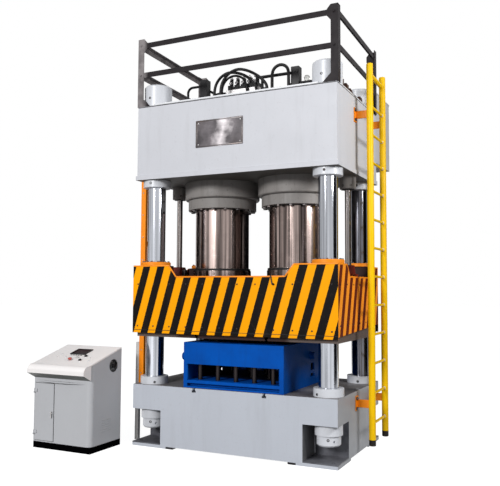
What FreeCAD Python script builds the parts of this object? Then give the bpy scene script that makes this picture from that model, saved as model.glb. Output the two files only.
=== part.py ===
import FreeCAD, Part
import math
import os

# Four-column hydraulic press with its guard rail, ladder, oil tank, blue die frame and control console.
# Millimetres, +Z up, +X to the operator's right, -Y towards the operator.
# The origin lies on the floor, at the centre of the four anchor holes in the bed's feet.
# Each part takes its place from the part it stands on or runs in, plus a named gap.

Vec = FreeCAD.Vector
Z_DIR = Vec(0, 0, 1)
EASY = 0.1                      # radial room round a part that is set in a bore
RUNNING = 0.06                  # radial room of a part that slides or turns
corner_signs = [(-1, -1), (1, -1), (-1, 1), (1, 1)]
corner_names = ["front_left", "front_right", "rear_left", "rear_right"]

# ---- columns, collars and nuts: everything else is laid out from the columns ----
column_dia = 186.0
column_pitch_x = 1904.0
column_pitch_y = 1033.0
column_end_room = 15.0
collar_grip = 49.0
collar_height = 74.0
collar_split = 6.0
top_nut_wall = 52.0
top_nut_height = 235.0
low_flange_wall = 36.0
low_flange_height = 102.0
low_nut_wall = 19.0
low_nut_height = 98.0
nut_chamfer = 14.0
column_x = column_pitch_x / 2
column_y = column_pitch_y / 2
collar_dia = column_dia + 2 * collar_grip
top_nut_dia = column_dia + 2 * top_nut_wall
low_flange_dia = column_dia + 2 * low_flange_wall
low_nut_dia = column_dia + 2 * low_nut_wall

# ---- bed ----
bed_height = 615.0
bed_rim_x = 1.0                 # from a collar's edge to the bed's side
bed_rim_y = 31.5
bed_wall = 40.0
bed_table = 90.0
bed_floor = 16.0
bed_ground_gap = 20.0
notch_room_x = 63.0             # from a nut's flange to the notch's wall
notch_room_y = 22.5
notch_height = 370.0
foot_lap_x = 65.0
foot_lap_y = 60.0
foot_thick = 40.0
anchor_inset_x = 65.0
anchor_inset_y = 70.0
anchor_hole = 36.0
slot_pitch = 756.0
slot_neck = 28.0
slot_neck_depth = 20.0
slot_tee = 46.0
slot_tee_height = 22.0
wedge_width = 80.0
wedge_depth = 90.0
bed_half_x = column_x + collar_dia / 2 + bed_rim_x
bed_half_y = column_y + collar_dia / 2 + bed_rim_y
notch_x = column_x - low_flange_dia / 2 - notch_room_x
notch_y = column_y - low_flange_dia / 2 - notch_room_y
foot_x = notch_x - foot_lap_x
foot_y = notch_y - foot_lap_y

# ---- crown ----
open_height = 2107.0            # from the bed's table to the crown's underside
crown_height = 778.0
crown_rim_x = 0.5               # from a nut's edge to the crown's side
crown_rim_y = 12.0
crown_wall = 30.0
crown_plate = 60.0
crown_lip = 12.0
crown_lip_height = 44.0
sleeve_wall = 30.0
deck_thick = 22.0
deck_inset = 12.0
deck_room = 6.0                 # round whatever comes up through the deck
sign_width = 530.0
sign_height = 276.0
sign_thick = 3.0
sign_centre = -127.0
sign_rise = 282.0
crown_half_x = column_x + top_nut_dia / 2 + crown_rim_x
crown_half_y = column_y + top_nut_dia / 2 + crown_rim_y
crown_bottom = bed_height + open_height
crown_top = crown_bottom + crown_height
deck_top = crown_top + deck_thick

# ---- return cylinders, outboard of the main ones ----
return_offset = 33.0            # from the columns' axes outwards
return_dia = 165.0
return_drop = 129.0
return_head = 60.0
return_neck = 55.0
rod_dia = 62.0
piston_dia = 128.0
piston_height = 60.0
rod_foot_width = 150.0
rod_foot_depth = 190.0
return_x = column_x + return_offset
return_bottom = crown_bottom - return_drop

# ---- main cylinders, glands and plungers: they fill the width between the return cylinders ----
cylinder_room = 57.0            # between a return cylinder and a main cylinder's collar
cylinder_gap = 66.0             # between the two collars
cylinder_step = 58.0            # the collar under the crown is this much wider all round
cylinder_wall = 52.0
cylinder_head = 60.0
plunger_room = 6.5
port_dia = 150.0
plunger_rise = 78.0             # from the crown's underside to the plungers' tops
plunger_flange_step = 24.0
plunger_flange_height = 66.0
plunger_ring_step = 17.0
plunger_ring_height = 24.0
gland_drop = 287.0
gland_height = 110.0
gland_step = 22.0
gland_bolt_count = 16
gland_bolt = 26.0
gland_spigot = 30.0
wiper_width = 14.0
wiper_height = 22.0
wiper_proud = 8.0
cylinder_reach = return_x - return_dia / 2 - cylinder_room
cylinder_collar_dia = cylinder_reach - cylinder_gap / 2
cylinder_x = (cylinder_reach + cylinder_gap / 2) / 2
cylinder_dia = cylinder_collar_dia - 2 * cylinder_step
cylinder_bore = cylinder_dia - 2 * cylinder_wall
plunger_dia = cylinder_bore - 2 * plunger_room
plunger_top = crown_bottom + plunger_rise
gland_dia = cylinder_dia + 2 * gland_step
gland_bottom = crown_bottom - gland_drop
gland_top = gland_bottom + gland_height
gland_bolt_circle = (gland_dia + cylinder_bore) / 2 + 14

# ---- blue die frame on the bed ----
die_width = 1078.0
die_offset = 25.0
die_front_gap = 30.0
die_rear_gap = 90.0
die_height = 445.0
die_wall = 42.0
die_base = 16.0
die_groove = 29.0
die_groove_inset = 55.0
die_deck = 30.0
die_window = 157.0
die_post_dia = 46.0
die_post_columns = 5
die_post_rows = 4
die_post_inset = 90.0
trunnion_dia = 70.0
trunnion_length = 46.0
trunnion_rise = 300.0
trunnion_front = 75.0           # from the die frame's front, on the left wall
trunnion_rear = 545.0           # from its rear, on the right wall
side_window_y = 108.0
side_window_width = 100.0
side_window_sizes = ((10.0, 34.0), (30.0, 72.0))      # each one's gap below it, then its height, upwards
die_front = -bed_half_y + die_front_gap
die_rear = bed_half_y - die_rear_gap
die_left = die_offset - die_width / 2
die_right = die_offset + die_width / 2
die_top = bed_height + die_height
die_groove_z = bed_height + die_base
die_deck_z = die_groove_z + die_groove
die_floor_z = die_deck_z + die_deck

# ---- slide, guide bushes and shroud ----
daylight = 40.0
slide_height = 615.0
slide_rim_x = 16.0              # from a guide bush to the slide's side
slide_rim_y = 11.5
slide_wall = 30.0
slide_plate = 70.0
tower_rise = 115.0
tower_rim = 16.0
bush_wall = 24.0
bush_flange_step = 36.0
bush_flange_height = 35.0
shroud_sheet = 4.0
shroud_front_gap = 55.0
shroud_side_gap = 23.0
shroud_rear_gap = 20.0
shroud_lift = 40.0              # from the slide's underside to the shroud's lower edge
shroud_side_lift = 20.0         # the side panels start higher by this much
shroud_side_climb = 59.0        # and rise by this much towards the rear
shroud_ear = 428.0
shroud_slope = 88.0
shroud_side_ear = 270.0
shroud_hem = 26.0
spacer_width = 80.0
spacer_height = 40.0
spacer_inset_x = 185.0          # from the slide's sides to the outer spacers
spacer_inset_y = 85.0
bush_dia = column_dia + 2 * bush_wall
bush_flange_dia = bush_dia + 2 * bush_flange_step
slide_half_x = column_x + bush_dia / 2 + slide_rim_x
slide_half_y = column_y + bush_dia / 2 + slide_rim_y
tower_x = column_x - bush_dia / 2 - tower_rim
tower_y = column_y - bush_dia / 2 - tower_rim
slide_bottom = die_top + daylight
slide_top = slide_bottom + slide_height
tower_top = slide_top + tower_rise
shroud_front = -slide_half_y - shroud_front_gap
shroud_rear = slide_half_y + shroud_rear_gap
shroud_half = slide_half_x + shroud_side_gap
shroud_bottom = slide_bottom + shroud_lift
shroud_low = slide_top
shroud_high = tower_top - 2

# ---- stroke rail, sensors and cable duct on the left ----
rail_gap = 18.0                 # clear of the shroud that passes it
rail_width = 58.0
rail_depth = 40.0
rail_wall = 5.0
rail_y = -450.0
rail_below = 55.0
rail_above = 78.0
duct_size = 40.0
duct_wall = 3.0
duct_above = 405.0
sensor_dia = 18.0
sensor_length = 66.0
sensor_gap = 4.0
sensor_rises = (780.0, 1085.0, 1455.0)
dog_width = 24.0
dog_rise = 320.0
dog_tall = 120.0
rail_right = -shroud_half - rail_gap
rail_left = rail_right - rail_width
rail_bottom = bed_height - rail_below
rail_top = crown_bottom + rail_above
duct_top = bed_height + duct_above

# ---- ladder ----
ladder_reach = 155.0
ladder_y = 124.0
ladder_pitch_y = 482.0
ladder_tube = 66.0
ladder_wall = 4.0
ladder_bottom = 120.0
ladder_above = 300.0
rung_dia = 25.0
rung_first = 316.0
rung_pitch = 280.0
ladder_bar = 46.0
ladder_bar_drop = 98.0
bracket_low_drop = 115.0
bracket_high_rise = 588.0
bracket_plate = 10.0
bracket_tall = 76.0
bracket_foot_tall = 140.0
bracket_foot_wide = 80.0
ladder_bolt = 20.0
ladder_bolt_pitch = 96.0
ladder_bolt_side = 24.0
ladder_x = bed_half_x + ladder_reach
ladder_top = crown_top + ladder_above
rung_count = int((ladder_top - ladder_bar_drop - rung_first) / rung_pitch)
bracket_heights = (bed_height - bracket_low_drop, crown_bottom + bracket_high_rise)

# ---- guard rail ----
guard_height = 735.0
guard_fall = 28.0               # the rear posts are lower by this much
post_leg = 72.0
post_wall = 7.0
post_proud = 12.0               # the posts stand out past the crown's sides
guard_leg = 56.0
guard_wall = 5.0
guard_drops = (45.0, 363.0)     # from the posts' tops down to the rails
gusset_size = 85.0
cap_reach = 38.0
cap_height = 150.0
cap_chamfer = 44.0
post_x = crown_half_x + post_proud
guard_top = crown_top + guard_height

# ---- oil tank, motor, pump and valves ----
tank_depth = 617.0
tank_inset = 6.0
tank_below = 525.0              # the tank's floor, below the crown's top
tank_above = 258.0
tank_wall = 8.0
tank_lid = 12.0
tank_lid_lip = 8.0
tank_bracket_pitch = 1100.0
tank_bracket_thick = 20.0
tank_bracket_drop = 215.0
tank_bracket_inset = 60.0
motor_y = 400.0
motor_dia = 270.0
motor_rise = 48.0               # from the deck to the motor's lowest fin
motor_start = -330.0
motor_length = 330.0
motor_fins = 20
motor_foot_half = 120.0
fin_height = 14.0
cowl_length = 62.0
cowl_sheet = 6.0
bell_length = 96.0
pump_length = 160.0
pump_dia = 170.0
shaft_dia = 42.0
stub_dia = 25.0
fan_dia = 210.0
prefill_dia = 300.0
prefill_flange_dia = 380.0
prefill_flange_height = 44.0
prefill_height = 205.0
prefill_neck_dia = 176.0
prefill_neck_height = 240.0
pilot_size = 84.0
pilot_height = 313.0
pilot_out = 89.0                # from the main cylinders' axes outwards
pilot_y = -250.0
manifold_x = (-268.0, 112.0)
manifold_y = (-262.0, -150.0)
manifold_height = 170.0
solenoid_count = 5
solenoid_width = 46.0
solenoid_height = 118.0
suction_dia = 140.0
suction_rise = 125.0
pump_pipe_dia = 60.0
line_dia = 26.0
line_bend = 60.0
line_reach = 215.0              # from a pilot block's axis outwards to its oil line
line_rises = (258.0, 150.0)     # from the deck up to the runs into the left and right pilot blocks
feed_rise = 80.0
cross_dia = 32.0
cross_start = 134.0
cross_rise = 263.0
tank_half = crown_half_x - tank_inset
tank_bottom = crown_top - tank_below
tank_top = crown_top + tank_above
motor_z = deck_top + motor_dia / 2 + motor_rise
bell_start = motor_start + motor_length
pump_flange = bell_start + bell_length
pump_end = pump_flange + pump_length
pump_x = pump_flange + pump_length / 2
prefill_neck_top = crown_top + prefill_neck_height
pilot_x = cylinder_x + pilot_out
pilot_top = deck_top + pilot_height
manifold_top = deck_top + manifold_height
suction_z = crown_top + suction_rise
line_x = pilot_x + line_reach

# ---- hoses on the crown: x, y and the rise above the deck; both ends leave their fittings upright ----
hose_dias = {"hose_outer": 30.0, "hose_middle": 30.0, "hose_inner": 24.0, "hose_loop": 32.0}
fitting_hex = 46.0
fitting_height = 44.0
ferrule_height = 22.0
fitting_half_x = 32.0
fitting_half_y = 24.0
hose_routes = {
    "hose_outer": [(-362, -352, 58), (-362, -352, 150), (-338, -350, 234), (-284, -346, 298),
                   (-204, -342, 334), (-112, -338, 322), (-28, -332, 290), (38, -327, 244), (88, -322, 188),
                   (118, -318, 124), (118, -318, 58)],
    "hose_middle": [(-256, -410, 58), (-256, -410, 150), (-226, -408, 236), (-158, -404, 306),
                    (-62, -400, 336), (34, -396, 312), (122, -392, 266), (198, -390, 210), (250, -390, 150),
                    (268, -390, 106), (268, -390, 58)],
    "hose_inner": [(-300, -298, 58), (-300, -298, 130), (-294, -298, 204), (-258, -296, 268),
                   (-194, -294, 306), (-120, -292, 304), (-54, -290, 270), (-16, -290, 206), (-8, -290, 132),
                   (-8, -290, 58)],
    "hose_loop": [(291, -320, 58), (291, -320, 170), (292, -320, 278), (326, -320, 325), (382, -320, 344),
                  (438, -320, 325), (472, -320, 278), (473, -320, 170), (473, -320, 58)],
}

# ---- control console: it stands free, to the left of the bed and in front of it ----
desk_gap_x = 120.0              # from the bed's left side to the console's right side
desk_gap_y = 45.0               # from the bed's front to the console's rear
desk_width = 710.0
desk_depth = 480.0
desk_height = 985.0
desk_slope = 16.0
desk_sheet = 12.0
nose_reach = 112.0
nose_shoulder = 0.3             # where the desk's slope ends, as a share of the nose's reach
nose_drop = 185.0               # from the desk's height down to the nose's rounded top
nose_thick = 48.0
nose_root = 58.0
cabinet_sheet = 4.0
cabinet_corner = 52.0
plinth_height = 62.0
plinth_wall = 30.0
pull_bulge = 34.0
pull_height = 14.0
pull_drop = 329.0
pull_insets = (41.0, 75.0)
door_width = 235.0
door_inset = 20.0               # room for the hinges beside the door
door_lift = 16.0
door_drop = 345.0
door_sheet = 4.0
door_gap = 0.3
door_lap = 16.0                 # the door covers its opening's rim by this much
hinge_radius = 5.0
hinge_pin = 5.0
hinge_height = 30.0
hinge_pad = 12.0
hinge_insets = (52.0, 100.0)    # from the door's lower and upper edges
hinge_inset = 8.0
hinge_out = 9.0                 # the hinge's axis stands this far out from the cabinet
handle_inset = 20.0             # from the door's free edge
handle_rise = 290.0
handle_boss = 11.0
handle_length = 62.0
handle_width = 14.0
fan_setback = 346.0             # from the console's front
fan_drop = 174.0
fan_guard_dia = 126.0
fan_opening = 104.0
rotor_dia = 92.0
rotor_hub = 36.0
rotor_blades = 7
backplate_inset = 60.0
backplate_drop = 160.0
gear_rows = 3
gear_columns = 3
gear_size = 90.0
screen_left = 252.0
screen_width = 184.0
screen_from_rear = 124.0
screen_depth = 132.0
screen_thick = 8.0
button_dia = 30.0
button_travel = 5.0
start_spots = ((482.0, 295.0), (493.0, 403.0))
stop_spot = (369.0, 405.0)
knob_spot = (410.0, 340.0)
lamp_spot = (155.0, 337.0)
desk_right = -bed_half_x - desk_gap_x
desk_left = desk_right - desk_width
desk_rear = -bed_half_y - desk_gap_y
desk_front = desk_rear - desk_depth
nose_top = desk_height - nose_drop
nose_bottom = nose_top - nose_thick
pull_bottom = desk_height - pull_drop
pull_ends = (desk_left + pull_insets[0], desk_right - pull_insets[1])
door_left = desk_left + door_inset
door_right = door_left + door_width
door_bottom = plinth_height + door_lift
door_top = desk_height - door_drop
door_face = desk_front - door_gap
hinge_lows = (door_bottom + hinge_insets[0], door_top - hinge_insets[1])
handle_x = door_right - handle_inset
handle_z = plinth_height + handle_rise
fan_y = desk_front + fan_setback
fan_z = desk_height - fan_drop
slope_run = math.cos(math.radians(desk_slope))
slope_rise = math.sin(math.radians(desk_slope))


def box(x0, x1, y0, y1, z0, z1):
    return Part.makeBox(x1 - x0, y1 - y0, z1 - z0, Vec(x0, y0, z0))


def rod(start, end, dia):
    axis = Vec(*end) - Vec(*start)
    return Part.makeCylinder(dia / 2, axis.Length, Vec(*start), axis)


def disc(x, y, z0, z1, dia):
    return Part.makeCylinder(dia / 2, z1 - z0, Vec(x, y, z0), Z_DIR)


def ring(x, y, z0, z1, outer, inner):
    return disc(x, y, z0, z1, outer).cut(disc(x, y, z0 - 1, z1 + 1, inner))


def face_of(points):
    return Part.Face(Part.makePolygon(points + [points[0]]))


def prism_y(profile, y0, y1):
    return face_of([Vec(x, y0, z) for x, z in profile]).extrude(Vec(0, y1 - y0, 0))


def prism_x(profile, x0, x1):
    return face_of([Vec(x0, y, z) for y, z in profile]).extrude(Vec(x1 - x0, 0, 0))


def prism_z(profile, z0, z1):
    return face_of([Vec(x, y, z0) for x, y in profile]).extrude(Vec(0, 0, z1 - z0))


def fuse(first, *rest):
    solid = first
    for piece in rest:
        solid = solid.fuse(piece)
    return solid.removeSplitter()


def cut(solid, *tools):
    for tool in tools:
        solid = solid.cut(tool)
    return solid.removeSplitter()


def revolve_z(profile, x, y):
    # profile is a list of (radius, z) round an upright axis
    face = face_of([Vec(x + radius, y, z) for radius, z in profile])
    return face.revolve(Vec(x, y, 0), Z_DIR, 360)


def hexagon(x, y, z0, z1, across):
    corner = across / math.sqrt(3)
    outline = []
    for step in range(6):
        turn = math.radians(60 * step)
        outline.append((x + corner * math.cos(turn), y + corner * math.sin(turn)))
    return prism_z(outline, z0, z1)


def corners(make):
    return [make(sx * column_x, sy * column_y) for sx, sy in corner_signs]


def mirror_x(shape):
    return shape.mirror(Vec(0, 0, 0), Vec(1, 0, 0))


def tube_route(points, dia):
    # straight runs joined by tangent arcs; returns the solid, its length and its least radius
    nodes = [Vec(*point) for point in points]
    edges = []
    radii = []
    start = nodes[0]
    for before, here, after in zip(nodes, nodes[1:], nodes[2:]):
        back = (before - here).normalize()
        ahead = (after - here).normalize()
        half_turn = (math.pi - back.getAngle(ahead)) / 2
        shorter = min((here - before).Length, (after - here).Length)
        radius = 0.45 * shorter / math.tan(half_turn)
        tangent = 0.45 * shorter
        arc_start = here + back * tangent
        arc_end = here + ahead * tangent
        middle_dir = (back + ahead).normalize()
        centre = here + middle_dir * (radius / math.cos(half_turn))
        arc_middle = centre - middle_dir * radius
        edges.append(Part.LineSegment(start, arc_start).toShape())
        edges.append(Part.Arc(arc_start, arc_middle, arc_end).toShape())
        radii.append(radius)
        start = arc_end
    edges.append(Part.LineSegment(start, nodes[-1]).toShape())
    path = Part.Wire(edges)
    circle = Part.makeCircle(dia / 2, nodes[0], nodes[1] - nodes[0])
    solid = path.makePipeShell([Part.Wire([circle])], True, False)
    return solid, path.Length, min(radii)


def corner_box(sx, sy, x_in, x_out, y_in, y_out, z0, z1):
    # a box in one corner of the plan: sx and sy are the corner's signs, x and y are distances from the middle
    x_span = sorted((sx * x_in, sx * x_out))
    y_span = sorted((sy * y_in, sy * y_out))
    return box(*x_span, *y_span, z0, z1)


def slotted_bars(half_x, half_y, face, way):
    # the layer that holds the two T-slots, as three bars; way is 1 for a face on top, -1 for one below
    neck = face - way * slot_neck_depth
    root = neck - way * slot_tee_height
    left = -slot_pitch / 2
    right = slot_pitch / 2
    bars = []
    for x0, x1, cut_left, cut_right in ((-half_x, left, 0, 1), (left, right, 1, 1), (right, half_x, 1, 0)):
        outline = []
        for z, width in ((face, slot_neck), (neck, slot_neck), (neck, slot_tee), (root, slot_tee)):
            outline.append((x1 - cut_right * width / 2, z))
        for z, width in ((root, slot_tee), (neck, slot_tee), (neck, slot_neck), (face, slot_neck)):
            outline.append((x0 + cut_left * width / 2, z))
        bars.append(prism_y(list(dict.fromkeys(outline)), -half_y, half_y).removeSplitter())
    return bars


def make_bed():
    # convex blocks that touch each other: centre, two wings, a slab over each wing, the slotted layer, feet
    root = bed_height - slot_neck_depth - slot_tee_height
    floor = bed_ground_gap + bed_floor
    roof = bed_height - bed_table
    centre = box(-notch_x, notch_x, -bed_half_y, bed_half_y, bed_ground_gap, root)
    middle = notch_x - bed_wall
    bay = (2 * middle - 2 * bed_wall) / 3
    for column in range(3):
        x0 = -middle + column * (bay + bed_wall)
        for sy in (-1, 1):
            y_span = sorted((sy * bed_wall / 2, sy * (bed_half_y - bed_wall)))
            centre = centre.cut(box(x0, x0 + bay, *y_span, floor, roof))
    bores = corners(lambda x, y: disc(x, y, notch_height - 1, bed_height + 1, column_dia + 2 * EASY))
    blocks = [centre]
    for sx in (-1, 1):
        x_span = sorted((sx * notch_x, sx * bed_half_x))
        room = sorted((sx * notch_x, sx * (bed_half_x - bed_wall)))
        hollow = box(*room, -notch_y + bed_wall, notch_y - bed_wall, floor, roof)
        wing = box(*x_span, -notch_y, notch_y, bed_ground_gap, notch_height)
        slab = box(*x_span, -bed_half_y, bed_half_y, notch_height, root)
        blocks.append(wing.cut(hollow))
        blocks.append(cut(slab, hollow, *bores))
    for bar in slotted_bars(bed_half_x, bed_half_y, bed_height, 1):
        blocks.append(cut(bar, *bores))
    for sx, sy in corner_signs:
        foot = corner_box(sx, sy, foot_x, bed_half_x, foot_y, bed_half_y, 0, foot_thick)
        hole_x = sx * (bed_half_x - anchor_inset_x)
        hole_y = sy * (bed_half_y - anchor_inset_y)
        above = [corner_box(sx, sy, foot_x, notch_x, foot_y, bed_half_y, bed_ground_gap, foot_thick),
                 corner_box(sx, sy, notch_x, bed_half_x, foot_y, notch_y, bed_ground_gap, foot_thick)]
        blocks.append(cut(foot, *above, disc(hole_x, hole_y, -1, foot_thick + 1, anchor_hole)))
    return blocks


def make_levelling_wedges():
    inner_y = bed_half_y - bed_wall - wedge_depth
    return [corner_box(sx, sy, foot_x - wedge_width, foot_x, inner_y, bed_half_y, 0, bed_ground_gap)
            for sx, sy in corner_signs]


def make_column(x, y):
    top = crown_top + top_nut_height - column_end_room
    foot = notch_height - low_flange_height - low_nut_height + column_end_room
    chamfer = 6
    radius = column_dia / 2
    profile = [(0, foot), (radius - chamfer, foot), (radius, foot + chamfer),
               (radius, top - chamfer), (radius - chamfer, top), (0, top)]
    return revolve_z(profile, x, y)


def make_collar(x, y, z0):
    # split clamp collar: the split faces away from the press's middle
    inner = column_dia + 2 * EASY
    collar = ring(x, y, z0, z0 + collar_height, collar_dia, inner)
    side = math.copysign(1, x)
    split = sorted((x + side * inner / 4, x + side * collar_dia))
    half = collar_split / 2
    return cut(collar, box(*split, y - half, y + half, z0 - 1, z0 + collar_height + 1))


def make_column_collars():
    low = corners(lambda x, y: make_collar(x, y, bed_height))
    high = corners(lambda x, y: make_collar(x, y, crown_bottom - collar_height))
    return low + high


def make_column_nuts():
    inner = column_dia / 2 + EASY
    outer = top_nut_dia / 2
    top = crown_top + top_nut_height
    crown_nut = [(inner, crown_top), (outer, crown_top), (outer, top - nut_chamfer),
                 (outer - nut_chamfer, top), (inner, top)]
    flange_z = notch_height - low_flange_height
    nut_z = flange_z - low_nut_height
    flange = low_flange_dia / 2
    nut = low_nut_dia / 2
    bed_nut = [(inner, notch_height), (flange, notch_height), (flange, flange_z), (nut, flange_z),
               (nut, nut_z + nut_chamfer), (nut - nut_chamfer, nut_z), (inner, nut_z)]
    nuts = []
    for sx, sy in corner_signs:
        x = sx * column_x
        y = sy * column_y
        nuts.append(revolve_z(crown_nut, x, y))
        lower = revolve_z(bed_nut, x, y)
        for step in range(4):
            turn = math.radians(45 + 90 * step)
            reach = nut + 1
            tip = (x + reach * math.cos(turn), y + reach * math.sin(turn), nut_z + low_nut_height / 2)
            seat = (x + (nut - 16) * math.cos(turn), y + (nut - 16) * math.sin(turn), tip[2])
            lower = lower.cut(rod(seat, tip, 22))
        nuts.append(lower.removeSplitter())
    return nuts


def make_crown():
    crown = box(-crown_half_x, crown_half_x, -crown_half_y, crown_half_y, crown_bottom, crown_top)
    lip = crown_lip
    crown = crown.fuse(box(-crown_half_x - lip, crown_half_x + lip, -crown_half_y - lip, crown_half_y,
                           crown_bottom, crown_bottom + crown_lip_height))
    hollow = box(-crown_half_x + crown_wall, crown_half_x - crown_wall, -crown_half_y + crown_wall,
                 crown_half_y - crown_wall, crown_bottom + crown_plate, crown_top - crown_plate)
    bores = [(sx * cylinder_x, 0, cylinder_dia) for sx in (-1, 1)]
    bores += [(sx * column_x, sy * column_y, column_dia) for sx, sy in corner_signs]
    for x, y, dia in bores:
        outer = dia + 2 * sleeve_wall
        hollow = hollow.cut(disc(x, y, crown_bottom, crown_top, outer))
    crown = crown.cut(hollow)
    for x, y, dia in bores:
        crown = crown.cut(disc(x, y, crown_bottom - 1, crown_top + 1, dia + 2 * EASY))
    for sx in (-1, 1):
        crown = crown.cut(disc(sx * return_x, 0, crown_bottom - 1, crown_top + 1, return_dia + 2 * EASY))
    return crown.removeSplitter()


def make_crown_deck():
    x_edge = crown_half_x - deck_inset
    y_edge = crown_half_y - deck_inset
    low = crown_top - 1
    high = deck_top + 1
    deck = box(-x_edge, x_edge, -y_edge, y_edge, crown_top, deck_top)
    for nut in corners(lambda x, y: disc(x, y, low, high, top_nut_dia + 2 * deck_room)):
        deck = deck.cut(nut)
    for sx in (-1, 1):
        deck = deck.cut(disc(sx * cylinder_x, 0, low, high, prefill_flange_dia + 2 * deck_room))
        deck = deck.cut(disc(sx * return_x, 0, low, high, return_dia + 2 * deck_room))
    for sx, sy in corner_signs:
        clear = post_leg + deck_room
        deck = deck.cut(corner_box(sx, sy, crown_half_x - clear - gusset_size, crown_half_x,
                                   crown_half_y - clear, crown_half_y, low, high))
    return max(deck.removeSplitter().Solids, key=lambda solid: solid.Volume)


def make_sign_plate():
    left = sign_centre - sign_width / 2
    low = crown_bottom + sign_rise
    plate = box(left, left + sign_width, -crown_half_y - sign_thick, -crown_half_y, low, low + sign_height)
    edges = [edge for edge in plate.Edges if abs(edge.tangentAt(edge.FirstParameter).y) > 0.9]
    return plate.makeFillet(6, edges)


def make_main_cylinders():
    # a barrel through the crown, a wider collar under it, a head with the oil port at the top
    outer = cylinder_dia / 2
    collar = cylinder_collar_dia / 2
    bore = cylinder_bore / 2
    port = port_dia / 2
    roof = crown_top - cylinder_head
    profile = [(bore, gland_top), (collar - 10, gland_top), (collar, gland_top + 10), (collar, crown_bottom),
               (outer, crown_bottom), (outer, crown_top), (port, crown_top), (port, roof), (bore, roof)]
    return [revolve_z(profile, sx * cylinder_x, 0) for sx in (-1, 1)]


def make_glands():
    inner = plunger_dia / 2 + RUNNING
    outer = gland_dia / 2
    pocket = inner + wiper_width
    neck = cylinder_bore / 2 - EASY
    spigot = gland_top + gland_spigot
    profile = [(pocket, gland_bottom), (outer, gland_bottom), (outer, gland_top), (neck, gland_top),
               (neck, spigot), (inner, spigot), (inner, gland_bottom + wiper_height),
               (pocket, gland_bottom + wiper_height)]
    return [revolve_z(profile, sx * cylinder_x, 0) for sx in (-1, 1)]


def make_gland_bolts():
    head = gland_bolt * 0.62
    across = gland_bolt * 1.53
    bolts = []
    for sx in (-1, 1):
        for step in range(gland_bolt_count):
            turn = math.radians(360 * (step + 0.5) / gland_bolt_count)
            x = sx * cylinder_x + gland_bolt_circle / 2 * math.cos(turn)
            y = gland_bolt_circle / 2 * math.sin(turn)
            bolts.append(hexagon(x, y, gland_bottom - head, gland_bottom, across))
    return bolts


def make_rod_seals():
    seals = []
    inner = plunger_dia + 2 * RUNNING
    for sx in (-1, 1):
        seals.append(ring(sx * cylinder_x, 0, gland_bottom - wiper_proud, gland_bottom + wiper_height,
                          inner + 2 * wiper_width - 2 * EASY, inner))
        seals.append(ring(sx * return_x, 0, return_bottom - wiper_proud, return_bottom,
                          rod_dia * 1.7, rod_dia + 2 * RUNNING))
    return seals


def make_return_cylinders():
    outer = return_dia / 2
    bore = piston_dia / 2 + 1
    neck = rod_dia / 2 + RUNNING
    floor = return_bottom + return_neck
    roof = crown_top - return_head
    profile = [(neck, return_bottom), (outer - 5, return_bottom), (outer, return_bottom + 5),
               (outer, crown_top), (0, crown_top), (0, roof), (bore, roof), (bore, floor), (neck, floor)]
    return [revolve_z(profile, sx * return_x, 0) for sx in (-1, 1)]


def make_slide():
    # the slotted layer below, the hollow core on it and a tower over each guide bush
    root = slide_bottom + slot_neck_depth + slot_tee_height
    bores = corners(lambda x, y: disc(x, y, slide_bottom - 1, tower_top + 1, bush_dia + 2 * EASY))
    hollow = box(-slide_half_x + slide_wall, slide_half_x - slide_wall, -slide_half_y + slide_wall,
                 slide_half_y - slide_wall, slide_bottom + slide_plate, slide_top - slide_plate)
    for sx, sy in corner_signs:
        hollow = hollow.cut(corner_box(sx, sy, tower_x, slide_half_x, tower_y, slide_half_y,
                                       slide_bottom, slide_top))
    for sx in (-1, 1):
        hollow = hollow.cut(ring(sx * cylinder_x, 0, slide_bottom, slide_top, plunger_dia, plunger_dia * 0.8))
    core = box(-slide_half_x, slide_half_x, -slide_half_y, slide_half_y, root, slide_top)
    blocks = [cut(core, hollow, *bores)]
    for bar in slotted_bars(slide_half_x, slide_half_y, slide_bottom, -1):
        blocks.append(cut(bar, *bores))
    for sx, sy in corner_signs:
        tower = corner_box(sx, sy, tower_x, slide_half_x, tower_y, slide_half_y, slide_top, tower_top)
        blocks.append(cut(tower, *bores))
    return blocks


def make_plungers():
    radius = plunger_dia / 2
    flange = radius + plunger_flange_step
    collar = radius + plunger_ring_step
    flange_z = slide_top + plunger_flange_height
    ring_z = flange_z + plunger_ring_height
    profile = [(0, slide_top), (flange, slide_top), (flange, flange_z), (collar, flange_z), (collar, ring_z),
               (radius, ring_z), (radius, plunger_top - 10), (radius - 10, plunger_top), (0, plunger_top)]
    return [revolve_z(profile, sx * cylinder_x, 0) for sx in (-1, 1)]


def make_guide_bushes():
    inner = column_dia / 2 + RUNNING
    outer = bush_dia / 2
    flange = bush_flange_dia / 2
    top = tower_top + bush_flange_height
    profile = [(inner, slide_bottom), (outer, slide_bottom), (outer, tower_top), (flange, tower_top),
               (flange, top - 6), (flange - 6, top), (inner, top)]
    return [revolve_z(profile, sx * column_x, sy * column_y) for sx, sy in corner_signs]


def make_return_rods():
    radius = rod_dia / 2
    piston = piston_dia / 2
    profile = [(0, tower_top), (radius, tower_top), (radius, plunger_top - piston_height - 20),
               (piston, plunger_top - piston_height - 20), (piston, plunger_top - 20), (0, plunger_top - 20)]
    return [revolve_z(profile, sx * return_x, 0) for sx in (-1, 1)]


def make_rod_feet():
    feet = []
    base_z = slide_top + 28
    for sx in (-1, 1):
        x = sx * return_x
        half_w = rod_foot_width / 2
        half_d = rod_foot_depth / 2
        base = box(x - half_w, x + half_w, -half_d, half_d, slide_top, base_z)
        profile = [(-half_d + 8, base_z), (half_d - 8, base_z), (rod_dia * 0.8, tower_top),
                   (-rod_dia * 0.8, tower_top)]
        web = prism_x(profile, x - rod_dia * 0.8, x + rod_dia * 0.8)
        feet.append(fuse(base, web))
    return feet


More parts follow.
